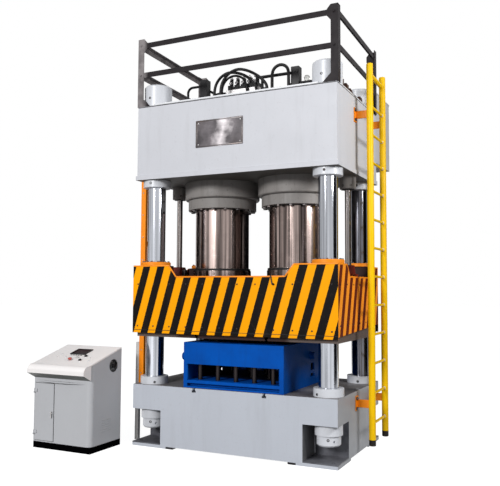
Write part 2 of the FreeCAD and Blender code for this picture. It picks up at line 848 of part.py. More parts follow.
def shroud_profile(half, ear, slope):
    # the outline of the front or rear panel, seen from the front: raised ears over the columns
    rise = half - ear
    return [(-half, shroud_bottom), (half, shroud_bottom), (half, shroud_high), (rise, shroud_high),
            (rise - slope, shroud_low), (slope - rise, shroud_low), (-rise, shroud_high),
            (-half, shroud_high)]


def spread(half, count):
    # evenly spaced places from -half to half
    return [-half + 2 * half * step / (count - 1) for step in range(count)]


def make_shroud_front():
    inner = shroud_front + shroud_sheet
    panel = prism_y(shroud_profile(shroud_half, shroud_ear, shroud_slope), shroud_front, inner)
    hem = box(-shroud_half + shroud_sheet, shroud_half - shroud_sheet, inner, inner + shroud_hem,
              shroud_bottom, shroud_bottom + shroud_sheet)
    panel = panel.fuse(hem)
    for x in spread(slide_half_x - spacer_inset_x, 4):
        panel = panel.fuse(spacer_y(x, inner, -slide_half_y, shroud_bottom + 70))
        panel = panel.fuse(spacer_y(x, inner, -slide_half_y, shroud_low - 80))
    return panel.removeSplitter()


def spacer_y(x, y0, y1, z):
    half = spacer_width / 2
    return box(x - half, x + half, y0, y1, z - spacer_height / 2, z + spacer_height / 2)


def make_side_panel():
    # right side panel: its lower edge climbs towards the rear
    front = shroud_front + shroud_sheet
    rear = shroud_rear - shroud_sheet
    low = front + shroud_side_ear
    base = shroud_bottom + shroud_side_lift
    rear_ear = rear - shroud_side_ear
    outline = [(front, base), (rear, base + shroud_side_climb), (rear, shroud_high), (rear_ear, shroud_high),
               (rear_ear - shroud_slope, shroud_low), (low + shroud_slope, shroud_low), (low, shroud_high),
               (front, shroud_high)]
    inner = shroud_half - shroud_sheet
    panel = prism_x(outline, inner, shroud_half)
    for y in spread(slide_half_y - spacer_inset_y, 4):
        for z in (base + shroud_side_climb + 40, shroud_low - 80):
            panel = panel.fuse(box(slide_half_x, inner, y - spacer_width / 2, y + spacer_width / 2,
                                   z - spacer_height / 2, z + spacer_height / 2))
    return panel.removeSplitter()


def make_shroud_panels():
    right = make_side_panel()
    left = mirror_x(right)
    inner = shroud_rear - shroud_sheet
    rear = prism_y(shroud_profile(shroud_half, shroud_ear, shroud_slope), inner, shroud_rear)
    for x in spread(slide_half_x - spacer_inset_x, 4):
        rear = rear.fuse(spacer_y(x, slide_half_y, inner, shroud_bottom + 70))
        rear = rear.fuse(spacer_y(x, slide_half_y, inner, shroud_low - 80))
    return [left, right, rear.removeSplitter()]


def make_trip_dog():
    face = -shroud_half
    y0 = rail_y + rail_depth / 2 + 10
    tip = rail_right - sensor_gap * 2
    low = slide_bottom + dog_rise
    high = low + dog_tall
    plate = box(face - 6, face, y0 - 20, y0 + 60, low, high)
    profile = [(face - 6, low), (tip, low + 22), (tip, high - 22), (face - 6, high)]
    return fuse(plate, prism_y(profile, y0 + 5, y0 + 5 + dog_width))


def make_switch_rail():
    y0 = rail_y - rail_depth / 2
    y1 = rail_y + rail_depth / 2
    rail = box(rail_left, rail_right, y0, y1, rail_bottom, rail_top)
    rail = rail.cut(box(rail_left + rail_wall, rail_right - rail_wall, y0 + rail_wall, y1 + 1,
                        rail_bottom - 1, rail_top + 1))
    for wall, z0, z1 in ((bed_half_x, rail_bottom, bed_height - 20),
                         (crown_half_x, crown_bottom + crown_lip_height, rail_top)):
        rail = rail.fuse(box(rail_right - rail_wall, -wall, y0, y0 + rail_wall, z0, z1))
    return rail.removeSplitter()


def make_stroke_sensors():
    face = rail_y + rail_depth / 2
    axis_y = face + 27
    tip = rail_right - sensor_gap * 3
    inner = rail_left + 12
    sensors = []
    for rise in sensor_rises:
        z = bed_height + rise
        body = rod((tip, axis_y, z), (tip - sensor_length, axis_y, z), sensor_dia)
        plate = box(inner, inner + 6, face, axis_y + 18, z - 25, z + 25)
        lug = box(inner + 6, rail_right, face, face + 5, z - 25, z + 25)
        sensors.append(fuse(plate, lug, body))
    return sensors


def make_cable_duct():
    left = rail_left - duct_size
    y0 = rail_y - duct_size / 2
    duct = box(left, rail_left, y0, y0 + duct_size, 0, duct_top)
    wall = duct_wall
    room = box(left + wall, rail_left - wall, y0 + wall, y0 + duct_size - wall, -1, duct_top - wall)
    return cut(duct, room)


def make_die_frame():
    frame = box(die_left, die_right, die_front, die_rear, bed_height, die_top)
    inside = (die_left + die_wall, die_right - die_wall)
    frame = frame.cut(box(*inside, die_front - 1, die_rear + 1, die_floor_z, die_floor_z + die_window))
    front_groove = (die_front - 1, die_front + die_groove_inset)
    rear_groove = (die_rear - die_groove_inset, die_rear + 1)
    for y_span in (front_groove, rear_groove):
        frame = frame.cut(box(*inside, *y_span, die_groove_z, die_deck_z))
    z = die_floor_z
    y_span = (side_window_y - side_window_width / 2, side_window_y + side_window_width / 2)
    for gap, height in side_window_sizes:
        frame = frame.cut(box(die_left - 1, die_right + 1, *y_span, z + gap, z + gap + height))
        z += gap + height
    z = bed_height + trunnion_rise
    for start, end, y in ((die_left, die_left - trunnion_length, die_front + trunnion_front),
                          (die_right, die_right + trunnion_length, die_rear - trunnion_rear)):
        frame = frame.fuse(rod((start, y, z), (end, y, z), trunnion_dia))
    return frame.removeSplitter()


def make_die_posts():
    inside = die_width - 2 * die_wall
    depth = die_rear - die_front
    posts = []
    for step_x in range(die_post_columns):
        x = die_left + die_wall + inside * (step_x + 0.5) / die_post_columns
        for step_y in range(die_post_rows):
            y = die_front + die_post_inset + (depth - 2 * die_post_inset) * step_y / (die_post_rows - 1)
            posts.append(disc(x, y, die_floor_z, die_floor_z + die_window, die_post_dia))
    return posts


def make_ladder():
    rails = []
    for side in (-1, 1):
        y = ladder_y + side * ladder_pitch_y / 2
        rails.append(disc(ladder_x, y, ladder_bottom, ladder_top, ladder_tube))
    sizes = [(rung_first + rung_pitch * step, rung_dia) for step in range(rung_count)]
    sizes.append((ladder_top - ladder_bar_drop, ladder_bar))
    rungs = []
    for z, dia in sizes:
        half = ladder_pitch_y / 2
        rung = rod((ladder_x, ladder_y - half, z), (ladder_x, ladder_y + half, z), dia)
        rungs.append(cut(rung, *rails))
    bore = ladder_tube - 2 * ladder_wall
    hollow = [rail.cut(disc(rail.BoundBox.Center.x, rail.BoundBox.Center.y, ladder_bottom - 1,
                            ladder_top + 1, bore)) for rail in rails]
    return hollow + rungs


def bracket_wall(z):
    return bed_half_x if z < crown_bottom else crown_half_x


def make_ladder_brackets():
    brackets = []
    for z in bracket_heights:
        wall = bracket_wall(z)
        for side in (-1, 1):
            y = ladder_y + side * ladder_pitch_y / 2
            foot = box(wall, wall + bracket_plate, y - bracket_foot_wide / 2, y + bracket_foot_wide / 2,
                       z - bracket_foot_tall / 2, z + bracket_foot_tall / 2)
            arm = box(wall, ladder_x, y - bracket_plate / 2, y + bracket_plate / 2,
                      z - bracket_tall / 2, z + bracket_tall / 2)
            bracket = fuse(foot, arm).cut(disc(ladder_x, y, z - bracket_tall, z + bracket_tall,
                                          ladder_tube + 2 * EASY))
            brackets.append(bracket)
    return brackets


def make_ladder_bolts():
    bolts = []
    for z in bracket_heights:
        face = bracket_wall(z) + bracket_plate
        for side in (-1, 1):
            y = ladder_y + side * ladder_pitch_y / 2 - ladder_bolt_side
            for drop in (-1, 1):
                head = hexagon(0, 0, 0, ladder_bolt * 0.6, ladder_bolt * 1.5)
                head.rotate(Vec(0, 0, 0), Vec(0, 1, 0), 90)
                head.translate(Vec(face, y, z + drop * ladder_bolt_pitch / 2))
                bolts.append(head)
    return bolts


def make_guard_posts():
    # angle posts: a gusset at the foot and a chamfered plate at the top of each
    posts = []
    for sx, sy in corner_signs:
        x0 = sx * post_x
        y0 = sy * crown_half_y
        top = guard_top if sy < 0 else guard_top - guard_fall
        outline = [(x0, y0), (x0 - sx * post_leg, y0), (x0 - sx * post_leg, y0 - sy * post_wall),
                   (x0 - sx * post_wall, y0 - sy * post_wall), (x0 - sx * post_wall, y0 - sy * post_leg),
                   (x0, y0 - sy * post_leg)]
        post = prism_z(outline, crown_top, top)
        leg_end = x0 - sx * post_leg
        gusset = [(leg_end, crown_top), (leg_end - sx * gusset_size, crown_top),
                  (leg_end, crown_top + gusset_size)]
        far = leg_end - sx * cap_reach
        cap = [(leg_end, top), (far, top - cap_chamfer), (far, top - cap_height + cap_chamfer),
               (leg_end, top - cap_height)]
        y_span = sorted((y0, y0 - sy * post_wall))
        posts.append(fuse(post, prism_y(gusset, *y_span), prism_y(cap, *y_span)))
    return posts


def angle_bar(start, end, down, inward):
    # an L-angle from start to end, its corner at the top outside edge
    first = Vec(*start)
    run = Vec(*end) - first
    lower = Vec(0, 0, -down)
    side = Vec(*inward)
    wall = guard_wall
    unit = Vec(side).normalize()
    outline = [first, first + side, first + side + Vec(0, 0, -wall), first + unit * wall + Vec(0, 0, -wall),
               first + unit * wall + lower, first + lower]
    return face_of(outline).extrude(run)


def make_guard_rails():
    bars = []
    x_end = post_x - post_wall
    y_end = crown_half_y - post_wall
    for drop in guard_drops:
        z = guard_top - drop
        rear_z = z - guard_fall
        bars.append(angle_bar((-x_end, -y_end, z), (x_end, -y_end, z), guard_leg, (0, guard_leg, 0)))
        for sx in (-1, 1):
            x = sx * x_end
            bars.append(angle_bar((x, -y_end + guard_leg, z), (x, y_end, rear_z), guard_leg,
                                  (-sx * guard_leg, 0, 0)))
    return bars


def make_oil_tank():
    half = tank_half
    y0 = crown_half_y
    y1 = y0 + tank_depth
    wall = tank_wall
    tank = box(-half, half, y0, y1, tank_bottom, tank_top)
    tank = tank.cut(box(-half + wall, half - wall, y0 + wall, y1 - wall, tank_bottom + wall, tank_top + 1))
    for sx in (-1, 1):
        tank = tank.cut(rod((sx * cylinder_x, y0 - 1, suction_z), (sx * cylinder_x, y0 + wall + 1, suction_z),
                            suction_dia + 2 * EASY))
    inlet_dia = pump_pipe_dia + 2 * EASY
    tank = tank.cut(rod((pump_x, y0 - 1, motor_z), (pump_x, y0 + wall + 1, motor_z), inlet_dia))
    brackets = []
    for sx in (-1, 1):
        x = sx * tank_bracket_pitch / 2
        gusset = [(y0, tank_bottom - tank_bracket_drop), (y1 - tank_bracket_inset, tank_bottom),
                  (y0, tank_bottom)]
        brackets.append(prism_x(gusset, x - tank_bracket_thick / 2, x + tank_bracket_thick / 2))
    lip = tank_lid_lip
    lid_z = tank_top + tank_lid
    lid = box(-half - lip / 2, half + lip / 2, y0, y1 + lip, tank_top, lid_z)
    neck = disc(half - 260, y1 - 160, lid_z, lid_z + 40, 60)
    cap = disc(half - 260, y1 - 160, lid_z + 40, lid_z + 110, 104)
    gauge = box(-half + 220, -half + 260, y1, y1 + 18, tank_bottom + 200, tank_bottom + 520)
    gauge = gauge.cut(box(-half + 230, -half + 250, y1 + 7, y1 + 19, tank_bottom + 230, tank_bottom + 490))
    return [tank.removeSplitter(), *brackets, lid, fuse(neck, cap), gauge]


def make_prefill_valves():
    neck = prefill_neck_dia / 2
    body = prefill_dia / 2
    flange = prefill_flange_dia / 2
    flange_z = crown_top + prefill_flange_height
    body_z = crown_top + prefill_height
    profile = [(0, crown_top), (flange, crown_top), (flange, flange_z), (body, flange_z),
               (body, body_z - 14), (body - 14, body_z), (neck, body_z), (neck, prefill_neck_top),
               (0, prefill_neck_top)]
    valves = []
    for sx in (-1, 1):
        valves.append(revolve_z(profile, sx * cylinder_x, 0))
        x = sx * pilot_x
        half = pilot_size / 2
        valves.append(box(x - half, x + half, pilot_y - half, pilot_y + half, deck_top, pilot_top))
    return valves


def make_valve_manifold():
    x0, x1 = manifold_x
    y0, y1 = manifold_y
    block = box(x0, x1, y0, y1, deck_top, manifold_top)
    return block


def solenoid_spots():
    x0, x1 = manifold_x
    pitch = (x1 - x0) / solenoid_count
    return [x0 + pitch * (step + 0.5) for step in range(solenoid_count)]


def make_solenoid_valves():
    y0, y1 = manifold_y
    middle = (y0 + y1) / 2
    half = solenoid_width / 2
    valves = []
    for x in solenoid_spots():
        body = box(x - half, x + half, y0 + 12, y1 - 12, manifold_top, manifold_top + solenoid_height * 0.45)
        coil = disc(x, middle, manifold_top, manifold_top + solenoid_height, solenoid_width - 6)
        valves.append(fuse(body, coil))
    return valves


def make_drive_motor():
    body_dia = motor_dia - 2 * fin_height
    start = motor_start + cowl_length
    body = rod((start, motor_y, motor_z), (bell_start, motor_y, motor_z), body_dia)
    for step in range(motor_fins):
        turn = 360 * (step + 0.5) / motor_fins
        fin = box(start + 20, bell_start - 30, motor_y - 3, motor_y + 3, motor_z + body_dia / 2 - 4,
                  motor_z + motor_dia / 2)
        fin.rotate(Vec(0, motor_y, motor_z), Vec(1, 0, 0), turn)
        body = body.fuse(fin)
    for x in (start + 40, bell_start - 90):
        body = body.fuse(box(x, x + 50, motor_y - motor_foot_half, motor_y + motor_foot_half,
                             deck_top, motor_z - body_dia / 2 + 12))
    cowl = rod((motor_start, motor_y, motor_z), (start, motor_y, motor_z), motor_dia)
    cowl = cowl.cut(rod((motor_start + cowl_sheet, motor_y, motor_z), (start - cowl_sheet, motor_y, motor_z),
                        motor_dia - 2 * cowl_sheet))
    body = body.fuse(cowl)
    body = body.fuse(box(start + 60, start + 190, motor_y - 70, motor_y + 70, motor_z + body_dia / 2 - 10,
                         motor_z + motor_dia / 2 + 34))
    bore = rod((start - cowl_sheet - 1, motor_y, motor_z), (bell_start + 1, motor_y, motor_z),
               shaft_dia + 2 * RUNNING)
    return cut(body, bore)


def make_oil_pump():
    bell = rod((bell_start, motor_y, motor_z), (pump_flange, motor_y, motor_z), motor_dia - 20)
    room_end = pump_flange - 14
    bell = bell.cut(rod((bell_start - 1, motor_y, motor_z), (room_end, motor_y, motor_z), motor_dia - 60))
    pump = rod((pump_flange - 14, motor_y, motor_z), (pump_end - 20, motor_y, motor_z), pump_dia)
    cap = rod((pump_end - 20, motor_y, motor_z), (pump_end, motor_y, motor_z), pump_dia - 40)
    bore_dia = stub_dia + 2 * RUNNING
    bore = rod((pump_flange - 15, motor_y, motor_z), (pump_end - 60, motor_y, motor_z), bore_dia)
    return cut(fuse(bell, pump, cap), bore)


def make_drive_shaft():
    start = motor_start + cowl_length
    fan = rod((motor_start + 20, motor_y, motor_z), (motor_start + 30, motor_y, motor_z), fan_dia)
    shaft = rod((motor_start + 20, motor_y, motor_z), (bell_start + 30, motor_y, motor_z), shaft_dia)
    hub = rod((bell_start + 24, motor_y, motor_z), (pump_flange - 24, motor_y, motor_z), shaft_dia * 2)
    stub = rod((pump_flange - 24, motor_y, motor_z), (pump_end - 70, motor_y, motor_z), stub_dia)
    for step in range(6):
        blade = box(motor_start + 30, start - cowl_sheet - 2, motor_y - 2, motor_y + 2, motor_z + 30,
                    motor_z + fan_dia / 2)
        blade.rotate(Vec(0, motor_y, motor_z), Vec(1, 0, 0), 60 * step)
        fan = fan.fuse(blade)
    return fuse(fan, shaft, hub, stub)


def bent_pipe(points, dia, bend):
    nodes = [Vec(*point) for point in points]
    edges = []
    start = nodes[0]
    for before, here, after in zip(nodes, nodes[1:], nodes[2:]):
        back = (before - here).normalize()
        ahead = (after - here).normalize()
        half_turn = (math.pi - back.getAngle(ahead)) / 2
        tangent = bend * math.tan(half_turn)
        middle_dir = (back + ahead).normalize()
        centre = here + middle_dir * (bend / math.cos(half_turn))
        arc_start = here + back * tangent
        arc_end = here + ahead * tangent
        edges.append(Part.LineSegment(start, arc_start).toShape())
        edges.append(Part.Arc(arc_start, centre - middle_dir * bend, arc_end).toShape())
        start = arc_end
    edges.append(Part.LineSegment(start, nodes[-1]).toShape())
    circle = Part.makeCircle(dia / 2, nodes[0], nodes[1] - nodes[0])
    return Part.Wire(edges).makePipeShell([Part.Wire([circle])], True, False)


def make_oil_pipes():
    pipes = []
    wall = crown_half_y + tank_wall
    half = pilot_size / 2
    for sx, rise in zip((-1, 1), line_rises):
        x = sx * cylinder_x
        suction = rod((x, 0, suction_z), (x, wall, suction_z), suction_dia)
        pipes.append(suction.cut(disc(x, 0, crown_top, prefill_neck_top, prefill_dia)))
        line_z = deck_top + rise
        low = line_z - line_bend
        edge = sx * (line_x - line_bend)
        corner = [(sx * line_x, pilot_y, low), (sx * line_x, pilot_y, line_z), (edge, pilot_y, line_z)]
        pipes.append(disc(sx * line_x, pilot_y, deck_top, low, line_dia))
        pipes.append(bent_pipe(corner, line_dia, line_bend * 0.98))
        pipes.append(rod((edge, pilot_y, line_z), (sx * (pilot_x + half), pilot_y, line_z), line_dia))
        link_x = sx * (pilot_x + cylinder_x) / 2
        link_z = prefill_neck_top - line_dia * 0.7
        link = rod((link_x, pilot_y + half, link_z), (link_x, 0, link_z), line_dia)
        pipes.append(link.cut(disc(x, 0, link_z - line_dia, link_z + line_dia, prefill_neck_dia)))
    inlet = rod((pump_x, motor_y, motor_z), (pump_x, wall, motor_z), pump_pipe_dia)
    pipes.append(inlet.cut(rod((pump_x - 100, motor_y, motor_z), (pump_x + 100, motor_y, motor_z), pump_dia)))
    front = manifold_y[1]
    outlet_x = manifold_x[1] - 60
    feed_z = deck_top + feed_rise
    outlet = [(pump_x, motor_y - pump_dia / 2, motor_z), (pump_x, front + 100, motor_z),
              (outlet_x, front + 100, motor_z), (outlet_x, front + 100, feed_z), (outlet_x, front, feed_z)]
    pipes.append(bent_pipe(outlet, line_dia, line_bend * 0.6))
    cross_z = deck_top + cross_rise
    cross = rod((cross_start, pilot_y, cross_z), (pilot_x - half, pilot_y, cross_z), cross_dia)
    stand = disc(cross_start + cross_dia / 2, pilot_y, deck_top, cross_z, cross_dia * 0.9)
    pipes.append(cross)
    pipes.append(stand.cut(cross))
    return pipes


def above_deck(point):
    x, y, rise = point
    return x, y, deck_top + rise


def make_hose_fittings():
    fittings = []
    for name, route in hose_routes.items():
        ferrule_dia = hose_dias[name] + 6
        for x, y, z in (above_deck(route[0]), above_deck(route[-1])):
            nut_z = z - fitting_height
            base = box(x - fitting_half_x, x + fitting_half_x, y - fitting_half_y, y + fitting_half_y,
                       deck_top, nut_z)
            nut = hexagon(x, y, nut_z, z - ferrule_height, fitting_hex)
            ferrule = disc(x, y, z - ferrule_height, z, ferrule_dia)
            fittings.append(fuse(base, nut, ferrule))
    return fittings


def desk_point(across, down_slope):
    # a point on the sloping desk, measured from its rear left corner
    return Vec(desk_left + across, desk_rear - down_slope * slope_run, desk_height - down_slope * slope_rise)


def on_desk(shape, across, down_slope):
    # shape is made upright at the origin and laid square to the desk's slope
    shape.rotate(Vec(0, 0, 0), Vec(1, 0, 0), desk_slope)
    shape.translate(desk_point(across, down_slope))
    return shape


def make_console_plinth():
    outer = box(desk_left, desk_right, desk_front, desk_rear, 0, plinth_height)
    wall = plinth_wall
    return cut(outer, box(desk_left + wall, desk_right - wall, desk_front + wall, desk_rear - wall,
                          -1, plinth_height + 1))


def slope_z(y, drop=0.0):
    return desk_height - (desk_rear - y) * slope_rise / slope_run - drop


def make_console_desk():
    slope_end = desk_front - nose_reach * nose_shoulder
    tip = desk_front - nose_reach
    thick = desk_sheet / slope_run
    root = nose_bottom - nose_root
    a = Vec(desk_left, desk_rear, desk_height)
    b = Vec(desk_left, slope_end, slope_z(slope_end))
    crest = Vec(desk_left, (slope_end + tip) / 2 - 12, (slope_z(slope_end) + nose_top) / 2 + 6)
    c = Vec(desk_left, tip, nose_top - 10)
    d = Vec(desk_left, tip, nose_bottom)
    e = Vec(desk_left, desk_front, root)
    f = Vec(desk_left, desk_front, slope_z(desk_front, thick))
    g = Vec(desk_left, desk_rear, desk_height - thick)
    edges = [Part.LineSegment(a, b).toShape(), Part.Arc(b, crest, c).toShape()]
    for start, end in ((c, d), (d, e), (e, f), (f, g), (g, a)):
        edges.append(Part.LineSegment(start, end).toShape())
    desk = Part.Face(Part.Wire(edges)).extrude(Vec(desk_right - desk_left, 0, 0))
    for across, down in start_spots + (stop_spot, knob_spot):
        desk = desk.cut(on_desk(disc(0, 0, -40, 10, button_dia * 0.6 + 2 * RUNNING), across, down))
    lamp = on_desk(disc(0, 0, -1, 6, button_dia * 0.7), *lamp_spot)
    return fuse(desk, lamp)


def cabinet_outline(inset):
    thick = desk_sheet / slope_run
    front = desk_front + inset
    rear = desk_rear - inset
    base = plinth_height + inset
    return [(rear, base), (front, base), (front, slope_z(front, thick)), (rear, slope_z(rear, thick))]


def make_console_cabinet():
    sheet = cabinet_sheet
    cabinet = prism_x(cabinet_outline(0), desk_left, desk_right)
    corner = [edge for edge in cabinet.Edges
              if abs(edge.BoundBox.XMin - desk_right) < 0.1 and abs(edge.BoundBox.YMax - desk_front) < 0.1]
    cabinet = cabinet.makeFillet(cabinet_corner, corner)
    inner_front = desk_front + sheet
    inside = prism_x([(desk_rear - sheet, plinth_height + sheet), (inner_front, plinth_height + sheet),
                      (inner_front, slope_z(inner_front) + 50), (desk_rear - sheet, desk_height + 50)],
                     desk_left + sheet, desk_right - sheet)
    hollow_corner = [edge for edge in inside.Edges
                     if abs(edge.BoundBox.XMin - desk_right + sheet) < 0.1
                     and abs(edge.BoundBox.YMax - inner_front) < 0.1]
    cabinet = cabinet.cut(inside.makeFillet(cabinet_corner - sheet, hollow_corner))
    cabinet = cabinet.cut(box(door_left + door_lap, door_right - door_lap, desk_front - 1, inner_front + 1,
                              door_bottom + door_lap, door_top - door_lap))
    wall = desk_right - sheet - 1
    cabinet = cabinet.cut(rod((wall, fan_y, fan_z), (desk_right + 1, fan_y, fan_z), fan_opening))
    left, right = pull_ends
    middle = Vec((left + right) / 2, desk_front - pull_bulge, pull_bottom)
    start = Vec(left, desk_front, pull_bottom)
    end = Vec(right, desk_front, pull_bottom)
    edges = [Part.Arc(start, middle, end).toShape(), Part.LineSegment(end, start).toShape()]
    cabinet = cabinet.fuse(Part.Face(Part.Wire(edges)).extrude(Vec(0, 0, pull_height)))
    axis_x = desk_left + hinge_inset
    axis_y = desk_front - hinge_out
    for low in hinge_lows:
        pad = box(desk_left, axis_x + hinge_radius, axis_y - hinge_radius, desk_front, low, low + hinge_pad)
        pin = disc(axis_x, axis_y, low + hinge_pad, low + hinge_pad + hinge_height + 3, hinge_pin)
        cabinet = cabinet.fuse(pad).fuse(pin)
    return cabinet.removeSplitter()


def make_console_backplate():
    y1 = desk_rear - cabinet_sheet
    left = desk_left + backplate_inset
    right = desk_right - backplate_inset
    low = plinth_height + backplate_inset
    high = desk_height - backplate_drop
    plate = box(left, right, y1 - 6, y1, low, high)
    row_pitch = (high - low) / gear_rows
    gear_pitch = (right - left) / (gear_columns + 1)
    for row in range(gear_rows):
        z = low + row_pitch * (row + 0.5)
        plate = plate.fuse(box(left + 30, right - 30, y1 - 14, y1 - 6, z - 17, z + 17))
        for column in range(gear_columns):
            x = left + gear_pitch * (column + 0.5)
            plate = plate.fuse(box(x, x + gear_size, y1 - 84, y1 - 14, z - gear_size / 2, z + gear_size / 2))
    return plate.removeSplitter()


def make_console_screen():
    half_w = screen_width / 2
    half_d = screen_depth / 2
    panel = box(-half_w, half_w, -half_d, half_d, 0, screen_thick)
    recess = box(-half_w + 14, half_w - 14, -half_d + 12, half_d - 12, screen_thick - 3, screen_thick + 1)
    panel = panel.cut(recess)
    return on_desk(panel, screen_left + half_w, screen_from_rear + half_d)


def make_console_door():
    # the door stands proud of the cabinet; leaves join it to knuckles that turn on the cabinet's pins
    axis_x = desk_left + hinge_inset
    axis_y = desk_front - hinge_out
    door = box(door_left, door_right, door_face - door_sheet, door_face, door_bottom, door_top)
    for hinge_low in hinge_lows:
        low = hinge_low + hinge_pad + 0.3
        high = low + hinge_height
        knuckle = disc(axis_x, axis_y, low, high, hinge_radius * 2)
        leaf = box(axis_x, door_left + 24, axis_y - 2, axis_y + 2, low, high)
        pad = box(door_left, door_left + 24, axis_y - 2, door_face, low, high)
        bore = disc(axis_x, axis_y, low - 1, high + 1, hinge_pin + 2 * RUNNING)
        door = door.fuse(knuckle).fuse(leaf).fuse(pad).cut(bore)
    boss_hole = rod((handle_x, door_face + 1, handle_z), (handle_x, door_face - door_sheet - 1, handle_z),
                    handle_boss + 2 * RUNNING)
    return cut(door, boss_hole)


def make_door_handle():
    face = door_face - door_sheet
    spindle = rod((handle_x, door_face, handle_z), (handle_x, face - 0.2, handle_z), handle_boss)
    boss = rod((handle_x, face - 0.2, handle_z), (handle_x, face - 12, handle_z), handle_boss * 1.7)
    low = handle_z - handle_length * 0.7
    high = handle_z + handle_length * 0.3
    grip = box(handle_x - handle_width / 2, handle_x + handle_width / 2, face - 20, face - 10, low, high)
    edges = [edge for edge in grip.Edges if abs(edge.tangentAt(edge.FirstParameter).z) > 0.9]
    return fuse(spindle, boss, grip.makeFillet(4, edges))


def make_fan_guard():
    wall = desk_right
    guard = rod((wall, fan_y, fan_z), (wall + 5, fan_y, fan_z), fan_guard_dia)
    guard = guard.cut(rod((wall - 1, fan_y, fan_z), (wall + 6, fan_y, fan_z), fan_opening))
    hub = rod((wall - 2, fan_y, fan_z), (wall + 6, fan_y, fan_z), rotor_hub + 8)
    guard = guard.fuse(hub)
    for step in range(4):
        bar = box(wall, wall + 4, fan_y - 2, fan_y + 2, fan_z + rotor_hub / 2, fan_z + fan_opening / 2 + 4)
        bar.rotate(Vec(0, fan_y, fan_z), Vec(1, 0, 0), 45 + 90 * step)
        guard = guard.fuse(bar)
    for dia in (62, 82):
        hoop = rod((wall + 1, fan_y, fan_z), (wall + 4, fan_y, fan_z), dia + 4)
        hoop = hoop.cut(rod((wall, fan_y, fan_z), (wall + 5, fan_y, fan_z), dia))
        guard = guard.fuse(hoop)
    pin = rod((wall - 30, fan_y, fan_z), (wall - 1, fan_y, fan_z), 8)
    return guard.fuse(pin).removeSplitter()


def make_fan_rotor():
    wall = desk_right - 8
    rotor = rod((wall - 18, fan_y, fan_z), (wall, fan_y, fan_z), rotor_hub)
    for step in range(rotor_blades):
        low = fan_z + rotor_hub / 2 - 4
        blade = box(wall - 10, wall - 7, fan_y - 14, fan_y + 14, low, fan_z + rotor_dia / 2)
        blade.rotate(Vec(wall - 9, fan_y, fan_z), Vec(0, 0, 1), 28)
        blade.rotate(Vec(0, fan_y, fan_z), Vec(1, 0, 0), 360 * step / rotor_blades)
        rotor = rotor.fuse(blade)
    return cut(rotor, rod((wall - 30, fan_y, fan_z), (wall + 30, fan_y, fan_z), 8 + 2 * RUNNING))


def make_button(spot):
    stem = disc(0, 0, -18, button_travel + 1, button_dia * 0.6)
    cap = disc(0, 0, button_travel + 1, button_travel + 9, button_dia)
    return on_desk(stem.fuse(cap).removeSplitter(), *spot)


def make_stop_button():
    stem = disc(0, 0, -18, button_travel + 2, button_dia * 0.6)
    cap = revolve_z([(0, button_travel + 2), (12, button_travel + 2), (20, button_travel + 10),
                     (20, button_travel + 15), (13, button_travel + 20), (0, button_travel + 20)], 0, 0)
    return on_desk(stem.fuse(cap).removeSplitter(), *stop_spot)


def make_selector_knob():
    stem = disc(0, 0, -18, 0.3, button_dia * 0.6)
    base = disc(0, 0, 0.3, 7, button_dia * 0.9)
    grip = box(-4, 4, -button_dia * 0.42, button_dia * 0.42, 7, 19)
    return on_desk(fuse(stem, base, grip), *knob_spot)


def build():
    nodes = {
        "bed": make_bed(),
        "levelling_wedges": make_levelling_wedges(),
        "column_collars": make_column_collars(),
        "column_nuts": make_column_nuts(),
        "crown": [make_crown()],
        "crown_deck": [make_crown_deck()],
        "sign_plate": [make_sign_plate()],
        "main_cylinders": make_main_cylinders(),
        "glands": make_glands(),
        "gland_bolts": make_gland_bolts(),
        "rod_seals": make_rod_seals(),
        "return_cylinders": make_return_cylinders(),
        "slide": make_slide(),
        "plungers": make_plungers(),
        "guide_bushes": make_guide_bushes(),
        "return_rods": make_return_rods(),
        "rod_feet": make_rod_feet(),
        "shroud_front": [make_shroud_front()],
        "shroud_panels": make_shroud_panels(),
        "trip_dog": [make_trip_dog()],
        "switch_rail": [make_switch_rail()],
        "stroke_sensors": make_stroke_sensors(),
        "cable_duct": [make_cable_duct()],
        "die_frame": [make_die_frame()],
        "die_posts": make_die_posts(),
        "ladder": make_ladder(),
        "ladder_brackets": make_ladder_brackets(),
        "ladder_bolts": make_ladder_bolts(),
        "guard_posts": make_guard_posts(),
        "guard_rails": make_guard_rails(),
        "oil_tank": make_oil_tank(),
        "prefill_valves": make_prefill_valves(),
        "valve_manifold": [make_valve_manifold()],
        "solenoid_valves": make_solenoid_valves(),
        "drive_motor": [make_drive_motor()],
        "oil_pump": [make_oil_pump()],
        "drive_shaft": [make_drive_shaft()],
        "oil_pipes": make_oil_pipes(),
        "hose_fittings": make_hose_fittings(),
        "console_plinth": [make_console_plinth()],
        "console_cabinet": [make_console_cabinet()],
        "console_desk": [make_console_desk()],
        "console_backplate": [make_console_backplate()],
        "console_screen": [make_console_screen()],
        "console_door": [make_console_door()],
        "door_handle": [make_door_handle()],
        "fan_guard": [make_fan_guard()],
        "fan_rotor": [make_fan_rotor()],
        "start_button_rear": [make_button(start_spots[0])],
        "start_button_front": [make_button(start_spots[1])],
        "stop_button": [make_stop_button()],
        "selector_knob": [make_selector_knob()],
    }
    for (sx, sy), name in zip(corner_signs, corner_names):
        nodes["column_" + name] = [make_column(sx * column_x, sy * column_y)]
    for name, route in hose_routes.items():
        dia = hose_dias[name]
        solid, length, radius = tube_route([above_deck(point) for point in route], dia)
        section = math.pi * dia * dia / 4
        print(f"{name}: length {length:.0f} mm, least bend radius {radius:.0f} mm, "
              f"volume against section x length {solid.Volume / (section * length):.4f}")
        nodes[name] = [solid]
    return nodes


def save(nodes):
    os.makedirs("parts", exist_ok=True)
    for name, solids in nodes.items():
        shape = solids[0] if len(solids) == 1 else Part.makeCompound(solids)
        if not shape.isValid():
            print("not valid:", name)
        shape.exportStep(f"parts/{name}.step")
    print(len(nodes), "nodes written")


save(build())
